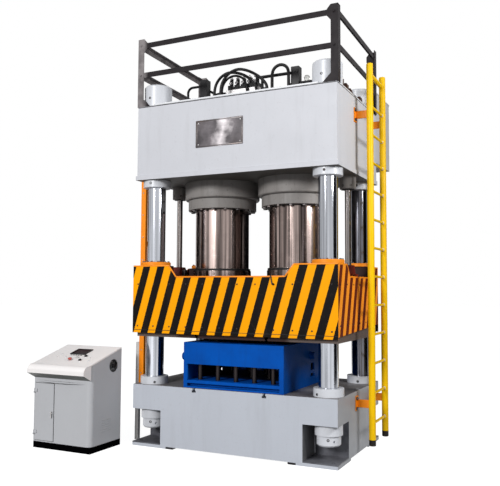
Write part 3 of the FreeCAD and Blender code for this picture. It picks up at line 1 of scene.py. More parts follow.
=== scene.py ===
import math
import bmesh
import bpy
from mathutils import Matrix, Vector


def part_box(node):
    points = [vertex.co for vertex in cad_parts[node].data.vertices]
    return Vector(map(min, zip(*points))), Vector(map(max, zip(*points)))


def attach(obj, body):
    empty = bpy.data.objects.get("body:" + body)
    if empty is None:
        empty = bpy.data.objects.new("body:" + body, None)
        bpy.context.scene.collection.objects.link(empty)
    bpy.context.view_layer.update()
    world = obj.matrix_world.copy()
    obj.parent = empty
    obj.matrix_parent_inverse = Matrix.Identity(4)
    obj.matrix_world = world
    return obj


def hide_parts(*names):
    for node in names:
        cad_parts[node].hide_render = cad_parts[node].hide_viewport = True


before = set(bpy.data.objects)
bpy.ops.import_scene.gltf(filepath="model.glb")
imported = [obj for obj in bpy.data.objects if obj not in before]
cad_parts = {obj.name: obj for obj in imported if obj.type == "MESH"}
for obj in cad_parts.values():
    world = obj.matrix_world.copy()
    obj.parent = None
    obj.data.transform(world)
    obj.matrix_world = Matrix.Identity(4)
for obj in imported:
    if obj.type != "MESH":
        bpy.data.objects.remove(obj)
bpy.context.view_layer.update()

up = Vector((0, 0, 1))
toFront, toRear, toRight = (0, -1, 0), (0, 1, 0), (1, 0, 0)
sides = (-1, 1)
corners = [(sx, sy) for sx in sides for sy in sides]
white = (1, 1, 1, 1)


def tone(red, green, blue):
    # screen colour (0 to 255) as the linear colour that the shaders take
    def linear(level):
        level = level / 255
        return level / 12.92 if level <= 0.04045 else ((level + 0.055) / 1.055) ** 2.4
    return (linear(red), linear(green), linear(blue), 1.0)


def addObject(name, data):
    made = bpy.data.objects.new(name, data)
    bpy.context.scene.collection.objects.link(made)
    return made


view = {
    "place": (2.9847, -6.4338, 1.584),
    "turn": 0.4476,     # from straight ahead, to the left
    "tilt": 0.0696,     # upwards
    "roll": 0.0044,
    "lens": 48.1, "sensor": 36, "reach": 200,
}


def addCamera():
    data = bpy.data.cameras.new("photoView")
    data.sensor_fit = "HORIZONTAL"
    data.sensor_width = view["sensor"]
    data.lens = view["lens"]
    data.clip_end = view["reach"]
    camera = addObject("photoView", data)
    turn = Matrix.Rotation(view["turn"], 4, "Z")
    tilt = Matrix.Rotation(math.pi / 2 + view["tilt"], 4, "X")
    roll = Matrix.Rotation(view["roll"], 4, "Z")
    camera.matrix_world = Matrix.Translation(view["place"]) @ turn @ tilt @ roll
    bpy.context.scene.camera = camera


def newGroup(name, inputs, outputs):
    # inputs: name -> (socket type, value); outputs: name -> socket type
    group = bpy.data.node_groups.new(name, "ShaderNodeTree")
    for label, (kind, value) in inputs.items():
        socket = group.interface.new_socket(label, in_out="INPUT", socket_type=kind)
        socket.default_value = value
    for label, kind in outputs.items():
        group.interface.new_socket(label, in_out="OUTPUT", socket_type=kind)
    start = group.nodes.new("NodeGroupInput")
    end = group.nodes.new("NodeGroupOutput")
    return group, start.outputs, end.inputs


class Wiring:
    # short ways to add nodes to one tree; apart from node and feed, each gives back what comes out
    def __init__(self, tree):
        self.tree = tree

    def node(self, kind, values=None, **settings):
        made = self.tree.nodes.new(kind)
        for name, value in settings.items():
            setattr(made, name, value)
        for socket, value in (values or {}).items():
            self.feed(made.inputs[socket], value)
        return made

    def feed(self, socket, value):
        if isinstance(value, bpy.types.NodeSocket):
            self.tree.links.new(value, socket)
        else:
            socket.default_value = value

    def place(self):
        return self.node("ShaderNodeTexCoord").outputs["Object"]

    def normal(self):
        return self.node("ShaderNodeNewGeometry").outputs["Normal"]

    def axes(self, vector):
        return self.node("ShaderNodeSeparateXYZ", {0: vector}).outputs

    def math(self, operation, first, second=0.0):
        return self.node("ShaderNodeMath", {0: first, 1: second}, operation=operation).outputs[0]

    def times(self, first, second):
        return self.math("MULTIPLY", first, second)

    def plus(self, first, second):
        return self.math("ADD", first, second)

    def scaled(self, vector, factors):
        return self.node("ShaderNodeVectorMath", {0: vector, 1: factors}, operation="MULTIPLY").outputs[0]

    def noise(self, vector, scale, detail=3.0, roughness=0.5):
        values = {"Vector": vector, "Scale": scale, "Detail": detail, "Roughness": roughness}
        return self.node("ShaderNodeTexNoise", values).outputs[0]

    def between(self, value, low, high, start=0.0, end=1.0):
        # low..high becomes start..end, and stays there outside
        values = {"Value": value, "From Min": low, "From Max": high, "To Min": start, "To Max": end}
        return self.node("ShaderNodeMapRange", values).outputs[0]

    def facing(self, axis, low, high, end=1.0):
        return self.between(self.axes(self.normal())[axis], low, high, 0.0, end)

    def mix(self, amount, first, second):
        return self.node("ShaderNodeMix", {0: amount, 6: first, 7: second}, data_type="RGBA").outputs[2]

    def shaded(self, color, value):
        return self.node("ShaderNodeHueSaturation", {"Value": value, "Color": color}).outputs[0]

    def group(self, tree, values):
        return self.node("ShaderNodeGroup", values, node_tree=tree).outputs

    def bump(self, height, strength, distance, normal=None):
        values = {"Height": height, "Strength": strength, "Distance": distance}
        if normal:
            values["Normal"] = normal
        return self.node("ShaderNodeBump", values).outputs[0]


colorSocket = "NodeSocketColor"
valueSocket = "NodeSocketFloat"
vectorSocket = "NodeSocketVector"
surface = {"Color": colorSocket, "Roughness": valueSocket, "Normal": vectorSocket}
groups = {}


def buildEdgeGroup():
    # softened edges: a rounded normal, and a mask that is 1 where an edge is rubbed
    tree, given, out = newGroup("rubbedEdges", {"Width": (valueSocket, 0.004)},
                                {"Normal": vectorSocket, "Mask": valueSocket})
    wire = Wiring(tree)
    soft = wire.node("ShaderNodeBevel", {"Radius": given["Width"]}, samples=4).outputs[0]
    alike = wire.node("ShaderNodeVectorMath", {0: soft, 1: wire.normal()}, operation="DOT_PRODUCT")
    patchy = wire.between(wire.noise(wire.place(), 26.0, 4.0, 0.7), 0.42, 0.62)
    wire.feed(out["Mask"], wire.times(wire.between(alike.outputs["Value"], 0.985, 0.9), patchy))
    wire.feed(out["Normal"], soft)
    return tree


def buildPaintGroup():
    # sprayed machine paint: slight patches, runs of grime, dust on what faces up, rubbed edges, orange peel
    tree, given, out = newGroup(
        "sprayedPaint",
        {"Paint": (colorSocket, (0.6, 0.6, 0.6, 1)), "Grime": (colorSocket, (0.1, 0.09, 0.08, 1)),
         "Grime Amount": (valueSocket, 0.2), "Gloss": (valueSocket, 0.35),
         "Edge Width": (valueSocket, 0.004)},
        surface)
    wire = Wiring(tree)
    place = wire.place()
    edges = wire.group(groups["edges"], {"Width": given["Edge Width"]})
    toned = wire.shaded(given["Paint"], wire.between(wire.noise(place, 1.6, 4.0, 0.6), 0.3, 0.7, 0.965, 1.02))
    runs = wire.scaled(place, (9.0, 9.0, 0.9))
    streaks = wire.between(wire.noise(runs, 1.0, 6.0, 0.65), 0.52, 0.78)
    specks = wire.between(wire.noise(place, 38.0, 3.0, 0.7), 0.6, 0.72)
    dust = wire.times(wire.facing(2, 0.6, 1.0), wire.between(wire.noise(place, 5.0, 5.0, 0.7), 0.35, 0.75))
    worst = wire.math("MAXIMUM", wire.math("MAXIMUM", streaks, specks), dust)
    dirt = wire.times(wire.math("MAXIMUM", worst, edges["Mask"]), given["Grime Amount"])
    wire.feed(out["Color"], wire.mix(dirt, toned, given["Grime"]))
    cloud = wire.between(wire.noise(place, 7.0, 3.0), 0.3, 0.7, -0.05, 0.06)
    wire.feed(out["Roughness"], wire.plus(wire.plus(given["Gloss"], cloud), wire.times(dirt, 0.3)))
    wire.feed(out["Normal"], wire.bump(wire.noise(place, 160.0, 2.0, 0.4), 0.12, 0.0006, edges["Normal"]))
    return tree


def buildSteelGroup():
    # ground or turned steel: fine lines along or round the axis, faint stains, soft edges; where the line
    # shade is strong, the lines paint reflection bands into the colour
    tree, given, out = newGroup(
        "groundSteel",
        {"Steel": (colorSocket, (0.5, 0.5, 0.5, 1)), "Stain": (colorSocket, (0.2, 0.15, 0.1, 1)),
         "Stain Amount": (valueSocket, 0.2), "Gloss": (valueSocket, 0.25), "Line And Reflection Shade": (valueSocket, 0.08),
         "Lines": (vectorSocket, (1.0, 1.0, 60.0)), "Edge Width": (valueSocket, 0.003)},
        surface)
    wire = Wiring(tree)
    place = wire.place()
    edges = wire.group(groups["edges"], {"Width": given["Edge Width"]})
    lines = wire.between(wire.noise(wire.scaled(place, given["Lines"]), 6.0, 4.0, 0.6), 0.36, 0.64)
    stains = wire.between(wire.noise(place, 3.2, 5.0, 0.62), 0.5, 0.75)
    dirt = wire.times(stains, given["Stain Amount"])
    # the lines' swing in colour; where strong and wide it paints reflection bands
    swing = wire.times(wire.math("SUBTRACT", lines, 0.5), given["Line And Reflection Shade"])
    toned = wire.shaded(given["Steel"], wire.plus(1.0, swing))
    wire.feed(out["Color"], wire.mix(dirt, toned, given["Stain"]))
    rough = wire.plus(given["Gloss"], wire.between(lines, 0.0, 1.0, -0.04, 0.05))
    wire.feed(out["Roughness"], wire.plus(rough, wire.times(dirt, 0.35)))
    wire.feed(out["Normal"], wire.bump(lines, 0.12, 0.0003, edges["Normal"]))
    return tree


# each group is built once and placed in the materials with their own values
groups["edges"] = buildEdgeGroup()
groups["paint"] = buildPaintGroup()
groups["steel"] = buildSteelGroup()


def newMaterial(name):
    material = bpy.data.materials.new(name)
    material.use_nodes = True
    return material, Wiring(material.node_tree), material.node_tree.nodes["Principled BSDF"]


def wornMaterial(name, kind, color, values, shine, metal=0.0, coat=0.0):
    # color: a colour, or a function that mixes one with the material's wiring
    material, wire, shader = newMaterial(name)
    values[kind.capitalize()] = color(wire) if callable(color) else color
    made = wire.group(groups[kind], values)
    for socket, source in (("Base Color", "Color"), ("Roughness", "Roughness"), ("Normal", "Normal")):
        wire.feed(shader.inputs[socket], made[source])
    shader.inputs["Specular IOR Level"].default_value = shine
    shader.inputs["Metallic"].default_value = metal
    shader.inputs["Coat Weight"].default_value = coat
    shader.inputs["Coat Roughness"].default_value = 0.15
    return material


def paintMaterial(name, paint, grime, amount, gloss, shine=0.35, edge=0.004, coat=0.0):
    values = {"Grime": grime, "Grime Amount": amount, "Gloss": gloss, "Edge Width": edge}
    return wornMaterial(name, "paint", paint, values, shine, coat=coat)


def steelMaterial(name, steel, stain, amount, gloss, lines=(1.0, 1.0, 60.0), shade=0.08, edge=0.002,
                  shine=0.5, metal=1.0):
    values = {"Stain": stain, "Stain Amount": amount, "Gloss": gloss, "Lines": lines, "Line And Reflection Shade": shade,
              "Edge Width": edge}
    return wornMaterial(name, "steel", steel, values, shine, metal)


def rubberMaterial(name, dark, worn, rough):
    material, wire, shader = newMaterial(name)
    place = wire.place()
    wear = wire.between(wire.noise(place, 24.0, 4.0, 0.6), 0.45, 0.75)
    wire.feed(shader.inputs["Base Color"], wire.mix(wear, dark, worn))
    wire.feed(shader.inputs["Roughness"], wire.between(wear, 0.0, 1.0, rough, rough + 0.18))
    wire.feed(shader.inputs["Normal"], wire.bump(wire.noise(place, 420.0, 2.0), 0.2, 0.0008))
    shader.inputs["Specular IOR Level"].default_value = 0.2
    return material


def plasticMaterial(name, color, rough, shine=0.25):
    material, wire, shader = newMaterial(name)
    place = wire.place()
    edges = wire.group(groups["edges"], {"Width": 0.0015})
    patch = wire.between(wire.noise(place, 30.0, 3.0), 0.35, 0.7, 0.92, 1.08)
    rubbed = wire.plus(patch, wire.times(edges["Mask"], 0.25))
    cloud = wire.between(wire.noise(place, 12.0), 0.3, 0.7, rough - 0.04, rough + 0.06)
    wire.feed(shader.inputs["Base Color"], wire.shaded(color, rubbed))
    wire.feed(shader.inputs["Roughness"], cloud)
    wire.feed(shader.inputs["Normal"], wire.bump(wire.noise(place, 700.0, 1.0), 0.1, 0.0003, edges["Normal"]))
    shader.inputs["Specular IOR Level"].default_value = shine
    return material


paintedShadeBoxes = {
    # two corners of each box of painted shade, with x and y taken as distances from the middle
    "bedPockets": ((0.7598, 0.3648, 0.03), (1.2, 0.8, 0.3702)),
    "bedTable": ((-1.0, -1.0, 0.6148), (1.2, 0.8, 0.7)),
    "dieInside": ((-1.0, -1.0, 0.65), (0.548, 0.358, 0.99)),
}


def paintedShadeMask(wire, name):
    spot = wire.axes(wire.place())
    held = 1.0
    for axis, (low, high) in enumerate(zip(*paintedShadeBoxes[name])):
        value = wire.math("ABSOLUTE", spot[axis]) if axis < 2 else spot[axis]
        within = wire.times(wire.math("GREATER_THAN", value, low), wire.math("LESS_THAN", value, high))
        held = wire.times(held, within)
    return held


def bedColor(wire):
    # grey, with painted shade in the four pockets and on the faces at the right end; the table's machined
    # steel is darker in itself, and darkened further as painted shade under the die
    deep = wire.between(wire.noise(wire.place(), 4.0, 4.0, 0.6), 0.3, 0.7, 0.75, 1.0)
    color = wire.mix(wire.times(paintedShadeMask(wire, "bedPockets"), deep), tone(184, 188, 196), tone(58, 57, 63))
    color = wire.mix(wire.times(paintedShadeMask(wire, "bedTable"), deep), color, tone(88, 82, 80))
    return wire.mix(wire.facing(0, 0.6, 0.8, 0.55), color, tone(112, 112, 112))


def slideColor(wire):
    # dark red-brown, which over the die frame also stands in as painted shadow in the gap above the die, and
    # pale at its ends
    x, y, z = wire.axes(wire.place())
    ends = wire.between(wire.math("ABSOLUTE", x), 0.57, 0.63)
    return wire.mix(wire.times(ends, wire.between(z, 1.3, 1.2)), tone(44, 24, 20), tone(92, 80, 75))


def signColor(wire):
    # clouded, with one soft painted reflection that leans, and dark at the left edge
    place = wire.place()
    x, y, z = wire.axes(place)
    lean = wire.times(wire.math("SUBTRACT", 3.28, z), 0.22)
    away = wire.math("ABSOLUTE", wire.plus(wire.plus(x, 0.062), lean))
    ragged = wire.between(wire.noise(place, 9.0, 3.0), 0.3, 0.7, -0.05, 0.05)
    cloud = wire.between(wire.noise(place, 6.0, 3.0), 0.35, 0.65)
    color = wire.mix(cloud, tone(60, 57, 59), tone(98, 93, 96))
    color = wire.mix(wire.between(wire.plus(away, ragged), 0.1, -0.02), color, tone(204, 198, 200))
    return wire.mix(wire.between(x, -0.366, -0.392), color, tone(46, 44, 45))


def consoleColor(wire, paint):
    # painted shade where it faces the floor
    return wire.mix(wire.facing(2, -0.12, -0.42), paint, tone(92, 94, 90))


def bodyColor(wire):
    # grey enamel, with painted shade on the crown's underside
    return wire.mix(wire.facing(2, -0.6, -0.8), tone(198, 199, 204), tone(78, 75, 72))


def guardColor(wire):
    # black, with a painted reflection of lighter grey in patches at the left
    place = wire.place()
    patches = wire.between(wire.noise(place, 8.0, 4.0, 0.6), 0.3, 0.65, 0.3, 0.9)
    paintedReflection = wire.times(wire.between(wire.axes(place)[0], -0.99, -1.03), patches)
    return wire.mix(paintedReflection, tone(26, 21, 24), tone(146, 140, 140))


def dieColor(wire):
    # blue, darker on the side walls as painted shade, and dark inside as painted shade
    side = wire.between(wire.math("ABSOLUTE", wire.axes(wire.normal())[0]), 0.6, 0.8)
    cloud = wire.between(wire.noise(wire.place(), 3.0, 4.0, 0.6), 0.35, 0.7, 0.0, 0.5)
    color = wire.mix(cloud, tone(0, 82, 176), tone(4, 58, 134))
    color = wire.mix(wire.times(side, 0.8), color, tone(0, 62, 132))
    return wire.mix(paintedShadeMask(wire, "dieInside"), color, tone(6, 18, 40))


def ladderColor(wire):
    # yellow tubes whose lower ends are dipped in black
    dipped = wire.between(wire.axes(wire.place())[2], 0.171, 0.168)
    return wire.mix(dipped, tone(234, 186, 2), tone(26, 22, 20))


stripes = {
    "pitch": 0.172,          # one yellow and one black band, measured level
    "lean": 0.29,            # how far a band moves sideways for each metre up
    "share": 0.5,            # of the pitch that is yellow
    "start": 0.05, "wobble": 0.012, "blur": 0.006,
    "yellow": tone(250, 164, 0), "black": tone(14, 10, 9),
    "sideLight": tone(248, 150, 40), "sideDark": tone(92, 30, 18),
}


def stripeColor(wire):
    place = wire.place()
    x, y, z = wire.axes(place)
    onSide = wire.math("GREATER_THAN", wire.math("ABSOLUTE", wire.axes(wire.normal())[0]), 0.7)
    onFront = wire.math("SUBTRACT", 1.0, onSide)
    along = wire.plus(wire.times(x, onFront), wire.times(y, onSide))
    run = wire.math("SUBTRACT", along, wire.times(z, stripes["lean"]))
    turns = wire.math("DIVIDE", wire.plus(run, stripes["start"]), stripes["pitch"])
    wobble = wire.between(wire.noise(place, 60.0, 2.0), 0.3, 0.7, -stripes["wobble"], stripes["wobble"])
    edge = wire.plus(wire.math("FRACT", turns), wobble)
    light = wire.between(edge, stripes["share"] + stripes["blur"], stripes["share"] - stripes["blur"])
    front = wire.mix(light, stripes["black"], stripes["yellow"])
    return wire.mix(onSide, front, wire.mix(light, stripes["sideDark"], stripes["sideLight"]))


greyDust = tone(112, 106, 100)
oilFilm = tone(40, 34, 30)
rust = tone(112, 78, 52)
paints = {
    # colour, grime, grime amount, gloss, shine, edge width and coat
    "bodyPaint": (bodyColor, greyDust, 0.12, 0.45, 0.15),
    # a darker copy of the body grey: painted shade under the crown on the glands and cylinders
    "glandPaint": (tone(136, 132, 129), tone(62, 54, 50), 0.45, 0.42, 0.15),
    "bedPaint": (bedColor, greyDust, 0.12, 0.42, 0.2, 0.0003),
    "cabinetPaint": (lambda wire: consoleColor(wire, tone(180, 181, 184)), greyDust, 0.05, 0.42, 0.2),
    "deskPaint": (lambda wire: consoleColor(wire, tone(236, 232, 230)), greyDust, 0.05, 0.42, 0.2),
    "tankPaint": (tone(198, 196, 194), greyDust, 0.12, 0.4),
    "nutPaint": (tone(204, 206, 211), greyDust, 0.16, 0.34, 0.35, 0.004, 0.08),
    # the body grey made lighter: a painted highlight along the deck's edge
    "deckPaint": (tone(222, 223, 226), greyDust, 0.12, 0.4),
    "guardPaint": (guardColor, tone(90, 82, 80), 0.12, 0.5, 0.12, 0.003),
    "slidePaint": (slideColor, tone(24, 18, 16), 0.2, 0.5, 0.15, 0.0003),
    "orangePaint": (tone(246, 142, 18), rust, 0.14, 0.42, 0.25),
    "ladderPaint": (ladderColor, tone(150, 110, 20), 0.16, 0.36, 0.15),
    "bluePaint": (dieColor, tone(16, 26, 50), 0.24, 0.45, 0.05),
    "redPaint": (tone(108, 26, 20), rust, 0.22, 0.45, 0.25),
    "primerPaint": (tone(66, 42, 34), oilFilm, 0.4, 0.45, 0.25),
    "blackPaint": (tone(20, 19, 22), tone(60, 56, 56), 0.16, 0.42, 0.2),
    "plinthPaint": (tone(4, 4, 5), tone(30, 28, 28), 0.05, 0.6, 0.0),
    "motorPaint": (tone(60, 66, 72), greyDust, 0.25, 0.42),
    "stripedGuard": (stripeColor, tone(120, 100, 80), 0.08, 0.5, 0.06, 0.002),
    "rawPlate": (tone(206, 206, 204), greyDust, 0.2, 0.5),
}
steels = {
    # colour, stain, stain amount, gloss, lines, line shade (strong, wide lines are painted reflection bands),
    # edge width, shine and metal
    # front columns: the wide, strong lines are painted reflection bands
    "chrome": (tone(184, 187, 194), tone(112, 106, 102), 0.12, 0.11, (4.2, 4.2, 0.04), 0.75),
    # rear columns: the chrome darkened as painted shade, with painted reflection bands
    "shadedChrome": (tone(96, 96, 102), tone(46, 42, 40), 0.3, 0.14, (4.5, 4.5, 0.04), 0.9),
    # plungers: the strong line shade paints dark and light reflection stripes
    "plungerSteel": (tone(150, 135, 130), tone(52, 40, 34), 0.45, 0.16, (3.4, 3.4, 0.03), 1.75),
    "rodSteel": (tone(150, 144, 142), tone(70, 58, 52), 0.25, 0.18, (9.0, 9.0, 0.05), 1.0),
    "darkSteel": (tone(84, 80, 80), rust, 0.25, 0.38),
    "blackSteel": (tone(48, 44, 44), oilFilm, 0.3, 0.42),
    "zincSteel": (tone(172, 170, 170), tone(100, 90, 80), 0.22, 0.34),
    "signSteel": (signColor, tone(60, 50, 48), 0.4, 0.34, (1.0, 1.0, 50.0), 0.2, 0.001, 0.2, 0.35),
    "brass": (tone(190, 158, 96), tone(96, 70, 40), 0.25, 0.3),
}
rubbers = {
    # dark colour, worn colour and roughness
    "hoseRubber": (tone(12, 11, 13), tone(34, 33, 34), 0.42),
    "footRubber": (tone(36, 30, 26), tone(60, 52, 46), 0.6),
}
plastics = {
    # colour, roughness and shine
    "sealRubber": (tone(16, 15, 15), 0.55),
    "blackPlastic": (tone(20, 20, 22), 0.45),
    "greyPlastic": (tone(206, 206, 206), 0.4),
    "redPlastic": (tone(176, 88, 80), 0.4),
    "rotorPlastic": (tone(168, 168, 168), 0.5),
    "dialWhite": (tone(206, 206, 202), 0.3),
    "screenGlass": (tone(34, 12, 16), 0.3, 0.02),
}
finishes = {}
for make, table in ((paintMaterial, paints), (steelMaterial, steels), (rubberMaterial, rubbers),
                    (plasticMaterial, plastics)):
    for name, values in table.items():
        finishes[name] = make(name, *values)
nodeFinishes = {
    "bedPaint": ["bed"],
    "bodyPaint": ["crown"],
    "glandPaint": ["glands", "return_cylinders", "main_cylinders"],
    "deckPaint": ["crown_deck"],
    "nutPaint": ["column_collars", "column_nuts"],
    "chrome": ["column_front_left", "column_front_right"],
    "shadedChrome": ["column_rear_left", "column_rear_right"],
    "rodSteel": ["return_rods"],
    "plungerSteel": ["plungers"],
    "slidePaint": ["slide"],
    "sealRubber": ["rod_seals"],
    "darkSteel": ["gland_bolts", "ladder_bolts", "drive_shaft"],
    "blackSteel": ["die_posts", "trip_dog"],
    "signSteel": ["sign_plate"],
    "orangePaint": ["guide_bushes", "switch_rail", "ladder_brackets"],
    "redPaint": ["rod_feet"],
    "stripedGuard": ["shroud_front", "shroud_panels"],
    "zincSteel": ["stroke_sensors", "valve_manifold", "oil_pump", "hose_fittings", "door_handle"],
    "blackPaint": ["prefill_valves", "oil_pipes", "levelling_wedges"],
    "tankPaint": ["oil_tank", "cable_duct"],
    "bluePaint": ["die_frame"],
    "ladderPaint": ["ladder"],
    "guardPaint": ["guard_posts", "guard_rails"],
    "motorPaint": ["drive_motor"],
    "rotorPlastic": ["fan_rotor"],
    "blackPlastic": ["solenoid_valves", "fan_guard", "start_button_rear", "start_button_front"],
    "greyPlastic": ["selector_knob"],
    "redPlastic": ["stop_button"],
    "screenGlass": ["console_screen"],
    "deskPaint": ["console_desk"],
    "cabinetPaint": ["console_cabinet", "console_door"],
    "plinthPaint": ["console_plinth"],
    "rawPlate": ["console_backplate"],
}


def finishNodes():
    for finish, names in nodeFinishes.items():
        for name in names:
            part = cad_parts[name]
            part.data.materials.clear()
            part.data.materials.append(finishes[finish])


washerHeight = 0.003


class Shape:
    # one piece under construction: parts are added in metres and finished as one object
    def __init__(self):
        self.mesh = bmesh.new()

    def lathe(self, profile, base, axis=up, steps=20):
        # profile: (radius, distance along the axis) from one end to the other; the ends are closed
        axis = Vector(axis).normalized()
        side = axis.cross(up if abs(axis.z) < 0.9 else Vector(toRight)).normalized()
        other = axis.cross(side)
        rings = []
        for radius, along in profile:
            middle = Vector(base) + axis * along
            if radius < 1e-6:
                rings.append([self.mesh.verts.new(middle)])
                continue
            ring = []
            for step in range(steps):
                angle = 2 * math.pi * (step + 0.5) / steps
                spot = middle + (side * math.cos(angle) + other * math.sin(angle)) * radius
                ring.append(self.mesh.verts.new(spot))
            rings.append(ring)
        for low, high in zip(rings, rings[1:]):
            for step in range(steps):
                after = (step + 1) % steps
                if len(low) == 1:
                    self.mesh.faces.new((low[0], high[after], high[step]))
                elif len(high) == 1:
                    self.mesh.faces.new((low[step], low[after], high[0]))
                else:
                    self.mesh.faces.new((low[step], low[after], high[after], high[step]))
        for ring, turned in ((rings[0], True), (rings[-1], False)):
            if len(ring) > 2:
                self.mesh.faces.new(ring[::-1] if turned else ring)

    def block(self, low, high, edge=0.002, turn=None):
        # a box with rounded edges; turn is a matrix that places it when it isn't square to the axes
        low, high = Vector(low), Vector(high)
        place = Matrix.Translation((low + high) / 2) @ Matrix.Diagonal((*(high - low), 1))
        made = bmesh.ops.create_cube(self.mesh, size=1, matrix=(turn or Matrix()) @ place)
        edges = {line for vert in made["verts"] for line in vert.link_edges}
        bmesh.ops.bevel(self.mesh, geom=list(edges), offset=edge, segments=2, profile=0.5, affect="EDGES")

    def bar(self, start, end, width, thick, outward, edge=0.001):
        # a flat bar from start to end: its width lies across, its thickness along outward
        start, end = Vector(start), Vector(end)
        run = (end - start).normalized()
        outward = Vector(outward).normalized()
        turn = Matrix((run.cross(outward), run, outward)).transposed().to_4x4()
        turn.translation = start
        self.block((-width / 2, 0, -thick / 2), (width / 2, (end - start).length, thick / 2), edge, turn)

    def hexHead(self, base, axis, across, height):
        radius = across / math.sqrt(3)
        self.lathe([(0, 0), (radius, 0), (radius, height * 0.82), (radius * 0.84, height), (0, height)],
                   base, axis, 6)

    def washer(self, base, axis, radius):
        tall = washerHeight
        self.lathe([(0, 0), (radius, 0), (radius, tall * 0.7), (radius * 0.95, tall), (0, tall)], base, axis)

    def bolt(self, base, axis, across):
        self.washer(base, axis, across * 0.95)
        top = Vector(base) + Vector(axis).normalized() * washerHeight
        self.hexHead(top, axis, across, across * 0.62)

    def capScrew(self, base, axis, radius, height):
        # a socket head with its hollow
        self.lathe([(0, 0), (radius, 0), (radius, height * 0.88), (radius * 0.9, height),
                    (radius * 0.56, height), (radius * 0.5, height * 0.5), (0, height * 0.42)],
                   base, axis, 18)

    def plug(self, base, axis, radius):
        # a sunk screw: a thin rim with a dark hollow
        self.lathe([(0, 0), (radius, 0), (radius, 0.0012), (radius * 0.86, 0.0018), (radius * 0.7, 0.0016),
                    (radius * 0.6, 0.0004), (0, 0.0004)], base, axis, 18)

    def rivet(self, base, axis):
        self.lathe([(0, 0), (0.0085, 0), (0.0075, 0.003), (0.004, 0.0048), (0, 0.0052)], base, axis, 14)

    def bead(self, start, end, radius):
        # a weld: a low round run with ripples about 12 mm apart, half sunk in its corner
        start, end = Vector(start), Vector(end)
        length = (end - start).length
        count = max(4, int(length / 0.012))
        ripples = [(radius * (1.0 if step % 2 else 0.84), length * step / count) for step in range(1, count)]
        self.lathe([(0, 0), *ripples, (0, length)], start, end - start, 7)

    def finish(self, name, finish, slot, body="press_frame", smooth=30):
        bmesh.ops.recalc_face_normals(self.mesh, faces=self.mesh.faces)
        data = bpy.data.meshes.new(name)
        self.mesh.to_mesh(data)
        self.mesh.free()
        data.materials.append(finishes[finish])
        data.shade_smooth()
        data.set_sharp_from_angle(angle=math.radians(smooth))
        piece = addObject(name, data)
        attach(piece, body)


def addTurned(name, finish, slot, profile, places, axis=up, steps=20):
    # one profile turned at several places
    shape = Shape()
    for place in places:
        shape.lathe(profile, place, axis, steps)
    shape.finish(name, finish, slot)


def around(middle, radius, angle):
    # a point on a round part, and the way out of it
    out = Vector((math.cos(math.radians(angle)), math.sin(math.radians(angle)), 0))
    return Vector(middle) + out * radius, out


def ring(middle, radius, count, start=0.0):
    return [around(middle, radius, start + 360 * step / count) for step in range(count)]


def row(start, pitch, count):
    # evenly spaced values, such as the places of bolts or rungs
    return [start + pitch * step for step in range(count)]


def addCurve(name, points, radius, finish, rings, steps):
    data = bpy.data.curves.new(name, "CURVE")
    data.dimensions = "3D"
    data.bevel_depth = radius
    data.bevel_resolution = rings
    data.resolution_u = steps
    data.use_fill_caps = True
    spline = data.splines.new("NURBS")
    spline.points.add(len(points) - 1)
    for spot, point in zip(spline.points, points):
        spot.co = (*point, 1)
    spline.order_u = 3
    spline.use_endpoint_u = True
    data.materials.append(finishes[finish])
    return addObject(name, data)


def addLine(name, points, radius, finish, body="press_frame"):
    # a stiff bent pipe, rod or hook
    piece = addCurve(name, points, radius, finish, 4, 10)
    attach(piece, body)


hoses = {
    "hose_outer": {"dia": 0.03, "length": 0.819, "points": [
        (-0.362, -0.352, 3.58), (-0.362, -0.352, 3.672), (-0.338, -0.35, 3.756), (-0.284, -0.346, 3.82),
        (-0.204, -0.342, 3.856), (-0.112, -0.338, 3.844), (-0.028, -0.332, 3.812), (0.038, -0.327, 3.766),
        (0.088, -0.322, 3.71), (0.118, -0.318, 3.646), (0.118, -0.318, 3.58)]},
    "hose_middle": {"dia": 0.03, "length": 0.841, "points": [
        (-0.256, -0.41, 3.58), (-0.256, -0.41, 3.672), (-0.226, -0.408, 3.758), (-0.158, -0.404, 3.828),
        (-0.062, -0.4, 3.858), (0.034, -0.396, 3.834), (0.122, -0.392, 3.788), (0.198, -0.39, 3.732),
        (0.25, -0.39, 3.672), (0.268, -0.39, 3.628), (0.268, -0.39, 3.58)]},
    "hose_inner": {"dia": 0.024, "length": 0.657, "points": [
        (-0.3, -0.298, 3.58), (-0.3, -0.298, 3.652), (-0.294, -0.298, 3.726), (-0.258, -0.296, 3.79),
        (-0.194, -0.294, 3.828), (-0.12, -0.292, 3.826), (-0.054, -0.29, 3.792), (-0.016, -0.29, 3.728),
        (-0.008, -0.29, 3.654), (-0.008, -0.29, 3.58)]},
    "hose_loop": {"dia": 0.032, "length": 0.666, "points": [
        (0.291, -0.32, 3.58), (0.291, -0.32, 3.692), (0.292, -0.32, 3.8), (0.326, -0.32, 3.847),
        (0.382, -0.32, 3.866), (0.438, -0.32, 3.847), (0.472, -0.32, 3.8), (0.473, -0.32, 3.692),
        (0.473, -0.32, 3.58)]},
}


def addHose(name, hose):
    points = hose["points"]
    piece = addCurve(name + "_rubber", points, hose["dia"] / 2, "hoseRubber", 6, 14)
    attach(piece, "press_frame")
    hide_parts(name)


crimps = {"wall": 0.003, "ridges": (0.001, 0.0085, 4), "rise": 0.0018, "length": 0.037, "below": 0.021}


